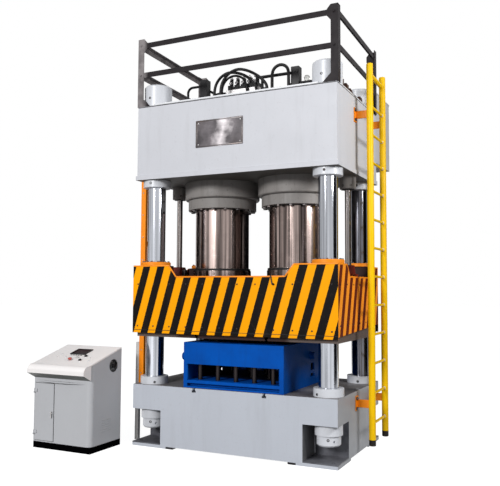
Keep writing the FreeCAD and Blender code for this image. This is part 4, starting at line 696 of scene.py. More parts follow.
def addHoseCrimps():
    # ribbed sleeves pressed on the hose ends
    shape = Shape()
    for hose in hoses.values():
        radius = hose["dia"] / 2 + crimps["wall"]
        crest = radius + crimps["rise"]
        profile = [(radius * 0.8, 0)]
        for start in row(*crimps["ridges"]):
            profile += [(radius, start), (crest, start + 0.002), (crest, start + 0.005),
                        (radius, start + 0.007)]
        profile.append((radius * 0.86, crimps["length"]))
        for x, y, z in (hose["points"][0], hose["points"][-1]):
            shape.lathe(profile, (x, y, z - crimps["below"]))
    shape.finish("hoseCrimps", "zincSteel", "brass_fit")


columns = {
    "x": 0.952, "y": 0.5165, "end": 3.7195, "plug": 0.013, "sunk": 0.0006,
    # the height and radius of each round part with plugs, and the angle of its first plug
    "crownCollar": (2.6887, 0.142, 274.7), "topNut": (3.594, 0.145, 265.9), "lowNut": (0.234, 0.112, 285.2),
    "bedCollar": (0.638, 0.142),
    "collarAngles": {(-1, -1): 304.6, (1, -1): 241.2, (-1, 1): 60.0, (1, 1): 274.0},
    "bushRing": 0.134, "bushTop": 1.864, "bushScrews": 12,
}


def addColumnScrews():
    plugs, screws = Shape(), Shape()
    for sx, sy in corners:
        x, y = sx * columns["x"], sy * columns["y"]
        bedCollar = (*columns["bedCollar"], columns["collarAngles"][sx, sy])
        for (z, radius, angle), count in ((bedCollar, 2), (columns["crownCollar"], 2), (columns["topNut"], 2),
                                          (columns["lowNut"], 1)):
            for spot, out in ring((x, y, z), radius - columns["sunk"], count, angle):
                plugs.plug(spot, out, columns["plug"])
        for spot, out in ring((x, y, columns["bushTop"]), columns["bushRing"], columns["bushScrews"], 15):
            screws.capScrew(spot, up, 0.0105, 0.012)
    plugs.finish("columnScrews", "blackSteel", "nut_steel")
    screws.finish("bushScrews", "darkSteel", "nut_steel", "slide_assembly")


def addColumnEnds():
    # centre hole and lifting thread in each column's top
    addTurned("columnEnds", "darkSteel", "nut_steel",
              [(0.034, 0), (0.034, 0.004), (0.03, 0.005), (0.019, 0.005), (0.016, 0.001), (0, 0.001)],
              [(sx * columns["x"], sy * columns["y"], columns["end"]) for sx, sy in corners])


rams = {
    "x": 0.43925, "ringInner": 0.2905, "ringRadius": 0.3074, "ringLow": 1.7812, "ringHigh": 1.8046,
    "flangeRadius": 0.3138, "flangeMiddle": 1.748, "flangeScrews": 12,
    "returnX": 0.985, "returnRadius": 0.0825, "returnMiddle": 2.625,
    "plugAngles": (309.7, 250.0, 40.0, 130.0),
    "footRing": 0.06, "footLow": 2.5935, "footScrews": 6, "plug": 0.012, "sunk": 0.0008,
    # the limit block beside the left ram's foot
    "stop": ((-0.806, -0.235, 1.716), (-0.77, -0.175, 1.792)), "stopBolt": (-0.788, -0.205, 1.791),
}


def addRamTrim():
    wipers, screws, plugs, stop = Shape(), Shape(), Shape(), Shape()
    inner, radius = rams["ringInner"], rams["ringRadius"]
    tall = rams["ringHigh"] - rams["ringLow"]
    for sx in sides:
        x = sx * rams["x"]
        wipers.lathe([(inner, 0), (radius - 0.001, 0), (radius, 0.001), (radius, tall - 0.003),
                      (radius - 0.003, tall), (inner, tall)], (x, 0, rams["ringLow"]), up, 72)
        for spot, out in ring((x, 0, rams["flangeMiddle"]), rams["flangeRadius"] - rams["sunk"],
                              rams["flangeScrews"], 12):
            screws.plug(spot, out, rams["plug"])
        x = sx * rams["returnX"]
        for angle in rams["plugAngles"]:
            spot, out = around((x, 0, rams["returnMiddle"]), rams["returnRadius"] - rams["sunk"], angle)
            plugs.plug(spot, out, rams["plug"])
        for spot, out in ring((x, 0, rams["footLow"]), rams["footRing"], rams["footScrews"]):
            plugs.capScrew(spot, -up, 0.008, 0.008)
    wipers.finish("ramWipers", "sealRubber", "seal_black", "slide_assembly")
    screws.finish("ramFlangeScrews", "blackSteel", "nut_steel", "slide_assembly")
    plugs.finish("returnPlugs", "blackSteel", "nut_steel")
    stop.block(*rams["stop"], 0.003)
    stop.bolt(rams["stopBolt"], up, 0.024)
    stop.finish("ramStop", "blackSteel", "nut_steel", "slide_assembly")


sign = {
    "left": -0.392, "right": 0.138, "low": 3.004, "high": 3.28, "face": -0.6765,
    "rim": 0.01, "sideGap": 0.006, "endGap": 0.004, "rise": 0.0006, "screwIn": 0.03,
}


def addSignTrim():
    shape = Shape()
    rim = sign["rim"]
    x0, x1 = sign["left"] + sign["sideGap"], sign["right"] - sign["sideGap"]
    z0, z1 = sign["low"] + sign["endGap"], sign["high"] - sign["endGap"]
    inLow, inHigh = z0 + rim + 0.0002, z1 - rim - 0.0002
    for (left, low), (right, high) in (((x0, z0), (x1, z0 + rim)), ((x0, z1 - rim), (x1, z1)),
                                       ((x0, inLow), (x0 + rim, inHigh)), ((x1 - rim, inLow), (x1, inHigh))):
        shape.block((left, sign["face"] - sign["rise"], low), (right, sign["face"] + sign["rise"], high),
                    0.0004)
    shape.finish("signRim", "darkSteel", "sign_steel")
    inset = sign["screwIn"]
    addTurned("signScrews", "zincSteel", "brass_fit",
              [(0, 0), (0.0075, 0), (0.006, 0.003), (0.0024, 0.0042), (0.002, 0.002), (0, 0.002)],
              [(x, sign["face"] + 0.0004, z) for x in (sign["left"] + inset, sign["right"] - inset)
               for z in (sign["low"] + inset, sign["high"] - inset)], toFront, 16)


crown = {
    "halfX": 1.0975, "halfY": 0.6735, "lip": 2.766, "top": 3.5,
    # the guard posts stand out past the sides and in from the front, and their legs and gussets end here
    "postOut": 0.012, "postIn": 0.001, "leg": 0.07, "gusset": 0.156,
}


def addDeckShadowLine():
    # painted shade: black strips for the shadow line at the foot of the crown's top plate, and for the groove
    # below it
    shape = Shape()
    x, y, z = crown["halfX"], crown["halfY"], crown["top"]
    low, high, groove = z - 0.0004, z + 0.005, z - 0.006
    shape.block((0.012 - x, 0.0065 - y, low), (x - 0.012, 0.0125 - y, high), 0.0004)
    for sx in sides:
        middle = sx * (x - 0.0095)
        shape.block((middle - 0.003, 0.07 - y, low), (middle + 0.003, y - 0.07, high), 0.0004)
    shape.bar((0.001 - x, -y - 0.0002, groove), (x - 0.001, -y - 0.0002, groove), 0.007, 0.0012, toRear,
              0.0003)
    for sx in sides:
        side = sx * (x + 0.0002)
        shape.bar((side, 0.001 - y, groove), (side, y - 0.001, groove), 0.007, 0.0012, toRight, 0.0003)
    shape.finish("deckShadowLine", "sealRubber", "seal_black")


bed = {"halfX": 1.095, "halfY": 0.69, "notchX": 0.76, "notchY": 0.365, "notchTop": 0.37, "foot": 0.042}


def addWelds():
    shape = Shape()
    x, y, lip, top = crown["halfX"], crown["halfY"], crown["lip"], crown["top"]
    shape.bead((-x, -y, lip), (x, -y, lip), 0.005)
    for sx in sides:
        shape.bead((sx * x, -y, lip), (sx * x, y, lip), 0.005)
        for sy in sides:       # round the guard posts' feet and gussets
            postX = sx * (x + crown["postOut"])
            postY = sy * (y - crown["postIn"])
            backY = postY - sy * 0.007
            sideX = postX - sx * 0.014
            shape.bead((postX - sx * crown["leg"], backY, top), (postX - sx * crown["gusset"], backY, top),
                       0.004)
            shape.bead((sideX, postY - sy * 0.01, top), (sideX, postY - sy * crown["leg"], top), 0.004)
    for way, rungEnd in ((1, ladder["rungLeft"]), (-1, ladder["rungRight"])):
        for z in row(*ladder["rungs"]):
            shape.lathe([(0.0125, 0), (0.0165, 0.002), (0.0165, 0.005), (0.0128, 0.009)],
                        (ladder["x"], rungEnd, z), (0, way, 0), 14)
    for sx, sy in corners:      # the bed's notches
        x, y, top = sx * bed["notchX"], sy * bed["notchY"], bed["notchTop"]
        shape.bead((x, y, bed["foot"]), (x, y, top), 0.006)
        shape.bead((x, y, top), (sx * bed["halfX"], y, top), 0.006)
        shape.bead((x, y, top), (x, sy * bed["halfY"], top), 0.006)
    shape.finish("weldSeams", "bodyPaint", "body_grey", smooth=60)


guard = {
    "front": -0.7, "half": 1.108, "rear": 0.665, "low": 1.14, "top": 1.715, "ears": 1.828,
    "ear": 0.428, "slope": 0.088, "sideEar": 0.27, "fold": 0.014, "thick": 0.006, "crease": 0.03,
    # rivets: first, pitch and count, then their heights above the lower edge and below the upper one
    "rivets": (-1.048, 2.096 / 11, 12), "sideRivets": (-0.64, 0.205, 7),
    "rivetLow": 0.07, "sideRivetLow": 0.119, "rivetHigh": 0.08,
    "hook": ((0.432, -0.69, 1.722), (0.446, -0.708, 1.724), (0.454, -0.712, 1.7), (0.462, -0.71, 1.64),
             (0.474, -0.716, 1.628), (0.484, -0.722, 1.644)),
}


def guardOutline(half, ear):
    # the upper edge from one corner to the other: ear, slope, middle, slope, ear; its z is the fold's middle
    inner = half - ear - guard["slope"]
    ears, top = guard["ears"] - guard["fold"] / 2, guard["top"] - guard["fold"] / 2
    return [(-half, ears), (ear - half, ears), (-inner, top), (inner, top), (half - ear, ears), (half, ears)]


def addGuardTrim():
    fold = Shape()       # the folded-over upper edge of each sheet
    half, front, rear = guard["half"], guard["front"], guard["rear"]
    inset = 0.002
    for y in (front + inset, rear - inset):
        line = guardOutline(half - inset, guard["ear"] - inset)
        for (x0, z0), (x1, z1) in zip(line, line[1:]):
            fold.bar((x0, y, z0), (x1, y, z1), guard["fold"], guard["thick"], toRear, 0.0012)
    middle = (front + rear) / 2
    for x in (inset - half, half - inset):
        line = guardOutline((rear - front) / 2 - 0.006, guard["sideEar"] - 0.004)
        for (y0, z0), (y1, z1) in zip(line, line[1:]):
            fold.bar((x, middle + y0, z0), (x, middle + y1, z1), guard["fold"], guard["thick"], toRight,
                     0.0012)
    fold.finish("guardFolds", "orangePaint", "orange", "slide_assembly")
    crease = Shape()        # painted shade: a black line for the crease pressed in above the front sheet's lower edge
    y, z = front - 0.0004, guard["low"] + guard["crease"]
    crease.bar((0.004 - half, y, z), (half - 0.004, y, z), 0.005, 0.0022, toRear, 0.0008)
    crease.finish("guardCreaseShade", "blackPaint", "stripe_yellow", "slide_assembly")
    rivets = Shape()
    high = guard["top"] - guard["rivetHigh"]
    for x in row(*guard["rivets"]):
        for z in (guard["low"] + guard["rivetLow"], high):
            rivets.rivet((x, front + 0.0002, z), toFront)
    for sx in sides:
        for y in row(*guard["sideRivets"]):
            for z in (guard["low"] + guard["sideRivetLow"], high):
                rivets.rivet((sx * (half - 0.0002), y, z), (sx, 0, 0))
    rivets.finish("guardRivets", "blackSteel", "nut_steel", "slide_assembly")
    addLine("guardHook", guard["hook"], 0.0055, "blackSteel", "slide_assembly")


ladder = {
    "x": 1.25, "left": -0.117, "right": 0.365, "low": 0.12, "top": 3.79, "radius": 0.033,
    "rungLeft": -0.0845, "rungRight": 0.3325, "rungs": (0.316, 0.28, 12),
}


def addLadderTrim():
    # plugs in the tubes' lower ends, and caps in the upper ones
    r, tubes = ladder["radius"], (ladder["left"], ladder["right"])
    addTurned("ladderFeet", "footRubber", "seal_black",
              [(0.012, -0.008), (r - 0.004, -0.008), (r - 0.001, -0.005), (r - 0.001, -0.0002),
               (r - 0.0045, 0.0002), (r - 0.0045, 0.02), (0.012, 0.02)],
              [(ladder["x"], y, ladder["low"]) for y in tubes], up, 28)
    addTurned("ladderCaps", "ladderPaint", "yellow",
              [(r - 0.0018, 0), (r - 0.0002, 0), (r - 0.0002, 0.012), (r - 0.004, 0.02), (r * 0.5, 0.024),
               (0, 0.025)],
              [(ladder["x"], y, ladder["top"]) for y in tubes], up, 28)


tank = {
    "half": 1.0915, "front": 0.6735, "rear": 1.2905, "low": 2.975, "lid": 3.758, "lidTop": 3.77,
    "boltIn": 0.03, "boltFront": 0.04, "sideBolts": (0.7335, 0.1, 6), "longBolts": (-1.0, 0.2, 11),
    "glass": ((-0.8608, 1.2977, 3.2058), (-0.8422, 1.3077, 3.4642)),
    "drain": (0.3, 1.2905, 3.02), "filler": (0.8315, 1.1305, 3.815), "fillerRadius": 0.0515, "ridges": 30,
    "ribs": (-0.64, -0.213, 0.213, 0.64), "ribGap": 0.06,
}


def addTankTrim():
    shape = Shape()
    for sx in sides:
        for y in row(*tank["sideBolts"]):
            shape.bolt((sx * (tank["half"] - tank["boltIn"]), y, tank["lidTop"]), up, 0.017)
    for x in row(*tank["longBolts"]):
        for y in (tank["front"] + tank["boltFront"], tank["rear"] - tank["boltIn"]):
            shape.bolt((x, y, tank["lidTop"]), up, 0.017)
    shape.finish("tankBolts", "zincSteel", "brass_fit")
    glass = Shape()       # set in the gauge's recess
    glass.block(*tank["glass"], 0.002)
    glass.finish("levelGlass", "screenGlass", "screen_glass")
    x, y, z = tank["drain"]
    nuts = Shape()
    nuts.washer((x, y, z), toRear, 0.03)
    nuts.hexHead((x, y + 0.003, z), toRear, 0.04, 0.0145)
    nuts.finish("drainPlug", "zincSteel", "brass_fit")
    addTurned("fillerKnurl", "blackPlastic", "black_plastic",
              [(0.0022, 0), (0.0034, 0.003), (0.0034, 0.056), (0.0022, 0.06)],
              [spot for spot, out in ring(tank["filler"], tank["fillerRadius"], tank["ridges"])], up, 6)
    ribs = Shape()        # pressed stiffeners on the tank's rear
    y = tank["rear"] + 0.003
    for x in tank["ribs"]:
        ribs.bar((x, y, tank["low"] + tank["ribGap"]), (x, y, tank["lid"] - tank["ribGap"]), 0.05, 0.007,
                 toRear, 0.003)
    ribs.finish("tankRibs", "tankPaint", "tank_grey")


plumbing = {
    "deck": 3.522, "manifoldFront": -0.262, "plugs": (-0.238, 0.0455, 8), "plugRows": (3.637, 3.577),
    "coils": 5,
}


def addValveTrim():
    shape = Shape()
    front = plumbing["manifoldFront"]
    for step, x in enumerate(row(*plumbing["plugs"])):       # along the block's front, in two rows
        z = plumbing["plugRows"][step % 2]
        shape.washer((x, front + 0.0004, z), toFront, 0.019)
        shape.hexHead((x, front - 0.0022, z), toFront, 0.03, 0.012)
    shape.finish("cartridgePlugs", "zincSteel", "brass_fit")
    coils, leads = Shape(), Shape()
    low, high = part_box("solenoid_valves")
    width = (high[0] - low[0]) / plumbing["coils"]
    y, top = low[1], high[2]
    for step in range(plumbing["coils"]):
        x = low[0] + width * (step + 0.5)
        coils.lathe([(0, 0), (0.0165, 0), (0.0165, 0.002), (0.015, 0.004), (0.015, 0.012), (0.0125, 0.015),
                     (0.006, 0.016), (0.006, 0.012), (0, 0.012)],
                    (x, y + 0.0006, (low[2] + top) / 2 + 0.012), toFront, 22)
        coils.block((x - 0.015, y + 0.012, top - 0.0006), (x + 0.015, y + 0.044, top + 0.016), 0.003)
        leads.lathe([(0, 0), (0.0065, 0), (0.0065, 0.01), (0.0045, 0.014), (0, 0.014)],
                    (x, y + 0.028, top + 0.0154), up, 14)
    coils.finish("coilCaps", "zincSteel", "valve_steel")
    leads.finish("leadGlands", "blackPlastic", "black_plastic")


gauge = {
    "middle": (0.632, -0.22, 3.712), "radius": 0.029, "facing": (0.35, -0.94, 0),
    "stemIn": 0.012, "nut": 0.09, "dial": 0.0272, "marks": (225, -27, 11),
}


def addGauge():
    middle = Vector(gauge["middle"])
    r = gauge["radius"]
    facing = Vector(gauge["facing"]).normalized()
    foot = middle + facing * gauge["stemIn"]
    foot.z = plumbing["deck"]
    case = Shape()
    case.lathe([(r * 0.9, 0), (r, 0.003), (r, 0.022), (r * 1.08, 0.024), (r * 1.08, 0.029), (r * 0.96, 0.031),
                (r * 0.93, 0.027), (0, 0.027)], middle, facing, 36)
    case.lathe([(0.0075, 0), (0.0075, 0.11), (0.005, 0.12), (0.005, 0.163)], foot, up, 16)
    case.hexHead(foot + up * gauge["nut"], up, 0.024, 0.018)
    case.finish("gaugeCase", "zincSteel", "brass_fit")
    addTurned("gaugeDial", "dialWhite", "desk_white",
              [(0, 0), (r * 0.92, 0), (r * 0.92, 0.0008), (0, 0.0008)],
              [middle + facing * gauge["dial"]], facing, 36)
    marks = Shape()
    side = facing.cross(up).normalized()
    centre = middle + facing * (gauge["dial"] + 0.0009)
    for angle in row(*gauge["marks"]):
        out = side * -math.cos(math.radians(angle)) + up * math.sin(math.radians(angle))
        marks.bar(centre + out * r * 0.68, centre + out * r * 0.86, 0.001, 0.0006, facing, 0.0001)
    marks.bar(centre - up * r * 0.2, centre + (side * 0.5 + up * 0.4) * r, 0.0014, 0.0008, facing, 0.0002)
    marks.finish("gaugeMarks", "blackPlastic", "black_plastic")


edgeLine = {
    "x": 1.04, "z": 3.56, "radius": 0.0105, "front": -0.47, "rear": 0.42, "bend": 0.022,
    # each block's middle, half its length and its height
    "blocks": ((-0.395, 0.036, 0.085), (-0.235, 0.03, 0.07), (-0.11, 0.024, 0.052), (0.23, 0.03, 0.06)),
    "drain": ((-0.652, -0.33, 3.5225), (-0.652, -0.33, 3.548), (-0.64, -0.326, 3.562), (-0.6, -0.3, 3.566),
              (-0.56, -0.27, 3.57), (-0.53, -0.24, 3.585), (-0.518, -0.196, 3.59)),
    "taps": ((-0.76, -0.33, 0.085), (-0.725, -0.2, 0.06)),       # place and height
}


def addEdgeLine():
    # the grease line along the crown's right edge, with its fittings
    x, z, deck = edgeLine["x"], edgeLine["z"], plumbing["deck"]
    front, rear, bend = edgeLine["front"], edgeLine["rear"], edgeLine["bend"]
    addLine("greaseLine", [
        (x, front, crown["top"] + 0.01), (x, front, z - 0.012), (x, front + bend, z), (x, -0.15, z),
        (x, 0.15, z), (x, rear - bend, z), (x, rear, z - 0.012), (x, rear, deck - 0.001)],
        edgeLine["radius"], "primerPaint")
    shape = Shape()
    for y, half, tall in edgeLine["blocks"]:
        shape.block((x - 0.026, y - half, deck), (x + 0.026, y + half, deck + tall), 0.003)
        shape.hexHead((x, y, deck + tall - 0.001), up, 0.03, 0.016)
        for start in (y - half - 0.013, y + half - 0.001):
            shape.lathe([(0.0135, 0), (0.016, 0.001), (0.016, 0.013), (0.0135, 0.014)], (x, start, z),
                        toRear, 6)
    shape.finish("greaseBlocks", "primerPaint", "dark_red")
    addLine("drainHose", edgeLine["drain"], 0.009, "blackPaint")
    valves = Shape()        # taps and unions on the left end of the deck
    for x, y, tall in edgeLine["taps"]:
        valves.lathe([(0, 0), (0.024, 0), (0.024, 0.006), (0.014, 0.008), (0.014, tall * 0.6),
                      (0.019, tall * 0.62), (0.019, tall), (0, tall)], (x, y, deck), up, 20)
        handle = deck + tall + 0.003
        valves.bar((x - 0.032, y, handle), (x + 0.032, y, handle), 0.01, 0.006, up, 0.002)
    valves.finish("deckTaps", "blackSteel", "nut_steel")


motor = {
    "end": (-0.3306, 0.4, 3.705), "rings": (0.03, 0.055, 0.08, 0.105), "spokes": 4, "hub": 0.02, "rim": 0.112,
    "lid": ((-0.214, 0.334, 3.8735), (-0.072, 0.466, 3.8765)), "lidScrew": 0.012,
}


def addMotorTrim():
    shape = Shape()
    centre = Vector(motor["end"])
    for radius in motor["rings"]:
        inner, outer = radius - 0.0025, radius + 0.0025
        shape.lathe([(inner, 0.001), (inner, -0.0022), (outer, -0.0022), (outer, 0.001), (inner, 0.001)],
                    centre, toRight, 40)
    centre.x -= 0.001
    for step in range(motor["spokes"]):
        angle = math.radians(45 + 360 * step / motor["spokes"])
        out = Vector((0, math.cos(angle), math.sin(angle)))
        shape.bar(centre + out * motor["hub"], centre + out * motor["rim"], 0.007, 0.003, toRight, 0.0006)
    shape.finish("cowlGrille", "motorPaint", "motor_blue")
    box = Shape()
    low, high = motor["lid"]
    box.block(low, high, 0.0012)
    for x in (low[0] + motor["lidScrew"], high[0] - motor["lidScrew"]):
        for y in (low[1] + motor["lidScrew"], high[1] - motor["lidScrew"]):
            box.capScrew((x, y, high[2] - 0.0004), up, 0.0045, 0.0035)
    box.finish("terminalLid", "motorPaint", "motor_blue")


console = {
    "left": -1.925, "right": -1.215, "rear": -0.735, "front": -1.215, "height": 0.985,
    "slope": math.radians(16),
    # on the desk: across from its left edge, and down its slope
    "buttons": ((0.482, 0.295), (0.493, 0.403), (0.41, 0.34)), "stop": (0.369, 0.405),
    "lamps": ((0.25, 0.335), (0.3, 0.372), (0.155, 0.27), (0.56, 0.33), (0.6, 0.4)),
    "screen": (0.252, 0.124, 0.184, 0.132), "keys": (0.282, 0.031, 5), "keyGap": 0.022,
    "door": (-1.905, -1.67, 0.078, 0.64),
    "louvres": (0.18, 0.022, 6), "louvreFront": -1.04, "louvreRear": -0.9,
    "fan": (-0.869, 0.811), "fanScrew": 0.0405,
}


def deskPlace(across, down):
    # from the desk's rear left corner, along its slope
    slope = console["slope"]
    return Vector((console["left"] + across, console["rear"] - down * math.cos(slope),
                   console["height"] - down * math.sin(slope)))


def deskTurn(across, down):
    turn = Matrix.Rotation(console["slope"], 4, "X")
    turn.translation = deskPlace(across, down)
    return turn


def addDeskTrim():
    out = Vector((0, -math.sin(console["slope"]), math.cos(console["slope"])))
    addTurned("buttonBezels", "zincSteel", "brass_fit",
              [(0.01, 0.0002), (0.0185, 0.0002), (0.019, 0.0012), (0.018, 0.0028), (0.0164, 0.003),
               (0.0158, 0.001), (0.01, 0.001)], [deskPlace(*spot) for spot in console["buttons"]], out, 32)
    addTurned("stopCollar", "greyPlastic", "desk_white",
              [(0.013, 0.0002), (0.03, 0.0002), (0.0297, 0.0008), (0.0134, 0.0008), (0.013, 0.0005)],
              [deskPlace(*console["stop"])], out, 40)
    addTurned("deskLamps", "greyPlastic", "desk_white",
              [(0.0, 0.0002), (0.0105, 0.0002), (0.0105, 0.003), (0.0085, 0.0044), (0.006, 0.0074),
               (0, 0.0084)],
              [deskPlace(*spot) for spot in console["lamps"]], out, 24)
    left, top, width, depth = console["screen"]
    edge = Shape()
    turn = deskTurn(left + width / 2, top + depth / 2)
    w, d, over, lap = width / 2, depth / 2, 0.004, 0.006
    for low, high in (((-w - over, -d - over), (w + over, lap - d)),
                      ((-w - over, d - lap), (w + over, d + over)),
                      ((-w - over, lap - d), (lap - w, d - lap)), ((w - lap, lap - d), (w + over, d - lap))):
        edge.block((*low, 0.0002), (*high, 0.0098), 0.0016, turn)
    edge.finish("screenFrame", "blackPlastic", "black_plastic")
    keys = Shape()
    for across in row(*console["keys"]):
        turn = deskTurn(across, top + depth + console["keyGap"])
        keys.block((-0.01, -0.006, 0.0002), (0.01, 0.006, 0.003), 0.0012, turn)
    keys.finish("screenKeys", "blackPlastic", "black_plastic")


def addCabinetTrim():
    joint = Shape()         # dark joint round the door, apart from its hinged side
    x0, x1, z0, z1 = console["door"]
    y = console["front"] - 0.0002
    for (left, low), (right, high) in (((x0 - 0.004, z0 - 0.004), (x1 + 0.004, z0 - 0.0005)),
                                       ((x0 - 0.004, z1 + 0.0005), (x1 + 0.004, z1 + 0.004)),
                                       ((x1 + 0.0006, z0), (x1 + 0.005, z1))):
        joint.block((left, y - 0.0012, low), (right, y + 0.0006, high), 0.0003)
    joint.finish("doorJoint", "sealRubber", "seal_black")
    slots = Shape()         # vent louvres low on the console's right side
    x = console["right"] - 0.0004
    for z in row(*console["louvres"]):
        slots.bar((x, console["louvreFront"], z), (x, console["louvreRear"], z), 0.009, 0.005, toRight,
                  0.0018)
    slots.finish("sideLouvres", "cabinetPaint", "body_grey")
    screws = Shape()
    y, z = console["fan"]
    reach = console["fanScrew"]
    for sy, sz in corners:
        screws.capScrew((console["right"] + 0.0046, y + sy * reach, z + sz * reach), toRight, 0.0042, 0.003)
    screws.finish("fanScrews", "zincSteel", "brass_fit")


die = {
    "left": -0.514, "right": 0.564, "front": -0.66, "rear": 0.6, "top": 1.0592,
    "screwIn": 0.06, "screwRows": (-0.58, -0.03, 0.52),
    # trunnions: the wall that each stands on, its y and the way it points
    "trunnions": ((-0.514, -0.585, -1), (0.564, 0.055, 1)), "trunnionHeight": 0.915, "trunnionEnd": 0.034,
    "weldIn": 0.045, "weldLow": 0.692, "weldHigh": 0.845, "clamps": (-0.378, 0.378), "bed": 0.6155,
}


def addDieTrim():
    screws = Shape()
    for x in (die["left"] + die["screwIn"], die["right"] - die["screwIn"]):
        for y in die["screwRows"]:
            screws.plug((x, y, die["top"]), up, 0.016)
    screws.finish("dieScrews", "blackSteel", "nut_steel")
    collars = Shape()
    z = die["trunnionHeight"]
    for x, y, way in die["trunnions"]:
        collars.lathe([(0.035, 0), (0.043, 0.001), (0.04, 0.006), (0.0352, 0.012)], (x, y, z), (way, 0, 0),
                      32)
        collars.lathe([(0.0352, 0), (0.038, 0.001), (0.038, 0.009), (0.0352, 0.01)],
                      (x + way * die["trunnionEnd"], y, z), (way, 0, 0), 32)
    for y in (die["front"] + 0.004, die["rear"] - 0.004):
        for x in (die["left"] + die["weldIn"], die["right"] - die["weldIn"]):
            collars.bead((x, y, die["weldLow"]), (x, y, die["weldHigh"]), 0.004)
    collars.finish("dieCollars", "bluePaint", "blue")
    clamps = Shape()       # hold-down clamps with their bolts on the bed's slots
    y, z = die["rear"] + 0.024, die["bed"]
    for x in die["clamps"]:
        clamps.block((x - 0.026, y, z), (x + 0.026, y + 0.05, z + 0.024), 0.003)
        clamps.bolt((x, y + 0.026, z + 0.0235), up, 0.03)
    clamps.finish("dieClamps", "darkSteel", "nut_steel")


rail = {
    "left": -1.184, "right": -1.126, "front": -0.4698, "sensors": (1.395, 1.7, 2.07), "sensorY": -0.403,
    "nuts": (0.0175, 0.04), "tip": 0.018, "bolts": (0.59, 2.745, 2.785),
    "screws": (0.7, 0.24, 9), "screwIn": 0.029, "clips": (0.12, 0.2, 5),
    "clip": ((-1.2252, -0.4712, 0.0), (-1.1838, -0.429, 0.014)),
}


def addRailTrim():
    addTurned("sensorNuts", "brass", "brass_fit",
              [(0.0092, 0), (0.0145, 0.0006), (0.0145, 0.0056), (0.0092, 0.0062)],
              [(rail["right"] - inward, rail["sensorY"], z)
               for z in rail["sensors"] for inward in rail["nuts"]],
              toRight, 6)
    addTurned("sensorTips", "redPlastic", "button_red",
              [(0.008, 0), (0.0091, 0.001), (0.0091, 0.006), (0.007, 0.0068), (0, 0.0068)],
              [(rail["right"] - rail["tip"], rail["sensorY"], z) for z in rail["sensors"]], toRight)
    bolts, clips = Shape(), Shape()
    for z in rail["bolts"]:
        bolts.bolt((rail["right"] - rail["tip"], rail["front"], z), toFront, 0.017)
    for z in row(*rail["screws"]):
        bolts.capScrew((rail["left"] + rail["screwIn"], rail["front"], z), toFront, 0.006, 0.005)
    bolts.finish("railBolts", "zincSteel", "brass_fit")
    for z in row(*rail["clips"]):
        clips.block(*(Vector(end) + up * z for end in rail["clip"]), 0.001)
    clips.finish("ductClips", "tankPaint", "tank_grey")


guardRail = {"x": 1.0695, "front": -0.6734, "heights": (4.162, 3.844)}


def addGuardRailTrim():
    shape = Shape()
    for z in guardRail["heights"]:
        for sx in sides:
            shape.bolt((sx * guardRail["x"], guardRail["front"], z), toFront, 0.017)
    shape.finish("guardBolts", "guardPaint", "guard_black")


stage = {
    "floorRadius": 60.0, "floorLow": -0.0005,
    "floorColor": (0.3, 0.3, 0.3, 1),
    "glow": 0.93,            # what the camera sees on top of the floor's own light
    "sky": (0.29, 0.3, 0.32, 1),
    "keyPower": 2650.0, "keyPlace": (-2.6, -18.0, 7.6), "keyAim": (0, 0, 2.0), "keySize": (4.0, 3.5),
    "fillPower": 188.0, "fillPlace": (5.3, -1.5, 3.9), "fillAim": (0.9, 0.0, 2.9), "fillSize": (1.6, 1.4),
    # middle, width and height, turn about the vertical
    "cards": (((0.0, 6.5, 2.3), (15.0, 6.4), 0.0), ((5.6, 0.9, 2.3), (4.4, 5.6), 1.5708),
              ((-5.4, 1.0, 2.3), (3.0, 5.6), 1.5708), ((-4.2, -4.6, 2.3), (0.3, 5.6), 0.75),
              ((1.0, -7.2, 2.3), (0.22, 5.6), 0.1)),
}


def matteMaterial(name, color, rough):
    material, wire, shader = newMaterial(name)
    shader.inputs["Base Color"].default_value = color
    shader.inputs["Roughness"].default_value = rough
    shader.inputs["Specular IOR Level"].default_value = 0.0
    return material, wire, shader


def addStagePiece(name, shape, material):
    mesh = bpy.data.meshes.new(name)
    shape.to_mesh(mesh)
    shape.free()
    mesh.materials.append(material)
    piece = addObject(name, mesh)
    return piece


def addFloor():
    shape = bmesh.new()
    bmesh.ops.create_circle(shape, cap_ends=True, radius=stage["floorRadius"], segments=64)
    material, wire, shader = matteMaterial("studioFloor", stage["floorColor"], 0.9)
    path = wire.node("ShaderNodeLightPath").outputs
    seen = wire.math("MAXIMUM", path["Is Camera Ray"], path["Is Glossy Ray"])
    shader.inputs["Emission Color"].default_value = white
    wire.feed(shader.inputs["Emission Strength"], wire.times(seen, stage["glow"]))
    addStagePiece("studioFloor", shape, material).location.z = stage["floorLow"]


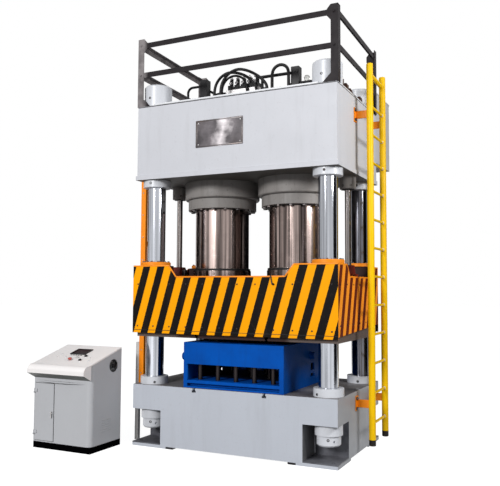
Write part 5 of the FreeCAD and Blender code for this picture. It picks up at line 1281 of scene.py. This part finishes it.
def addCards():
    # upright dark cards beside the object, seen only in polished metal
    material, wire, shader = matteMaterial("darkCard", (0.01, 0.01, 0.012, 1), 1.0)
    for step, (place, size, turn) in enumerate(stage["cards"]):
        shape = bmesh.new()
        bmesh.ops.create_grid(shape, x_segments=1, y_segments=1, size=0.5)
        card = addStagePiece(f"studioCard{step}", shape, material)
        card.matrix_world = (Matrix.Translation(place) @ Matrix.Rotation(turn, 4, "Z")
                             @ Matrix.Rotation(math.pi / 2, 4, "X") @ Matrix.Diagonal((*size, 1, 1)))
        card.visible_camera = False
        card.visible_diffuse = False
        card.visible_shadow = False
        card.visible_transmission = False


def addLamp(name, place, target, size, power):
    data = bpy.data.lights.new(name, "AREA")
    data.shape = "RECTANGLE"
    data.size, data.size_y = size
    data.energy = power
    lamp = addObject(name, data)
    lamp.location = place
    aim = Vector(target) - Vector(place)
    lamp.rotation_euler = aim.to_track_quat("-Z", "Y").to_euler()


def lightStudio():
    world = bpy.data.worlds.new("studioSky")
    bpy.context.scene.world = world
    world.use_nodes = True
    wire = Wiring(world.node_tree)
    back = world.node_tree.nodes["Background"]
    path = wire.node("ShaderNodeLightPath").outputs
    seen = wire.math("MAXIMUM", path["Is Camera Ray"], path["Is Transmission Ray"])
    seen = wire.math("MAXIMUM", seen, path["Is Glossy Ray"])
    wire.feed(back.inputs["Color"], wire.mix(seen, stage["sky"], white))
    addLamp("keyLamp", stage["keyPlace"], stage["keyAim"], stage["keySize"], stage["keyPower"])
    addLamp("fillLamp", stage["fillPlace"], stage["fillAim"], stage["fillSize"], stage["fillPower"])
    bpy.context.scene.view_settings.view_transform = "Standard"


addCamera()
print("camera set")
for hoseName, hose in hoses.items():
    addHose(hoseName, hose)
addHoseCrimps()
print("hoses laid")
finishNodes()
print("finishes on")
addColumnScrews()
addColumnEnds()
addRamTrim()
print("columns and rams trimmed")
addSignTrim()
addDeckShadowLine()
addWelds()
addGuardTrim()
addLadderTrim()
addDieTrim()
addRailTrim()
addGuardRailTrim()
print("frame and guard trimmed")
addTankTrim()
addValveTrim()
addGauge()
addEdgeLine()
addMotorTrim()
print("oil side trimmed")
addDeskTrim()
addCabinetTrim()
print("console trimmed")
addFloor()
addCards()
lightStudio()
print("studio lit")
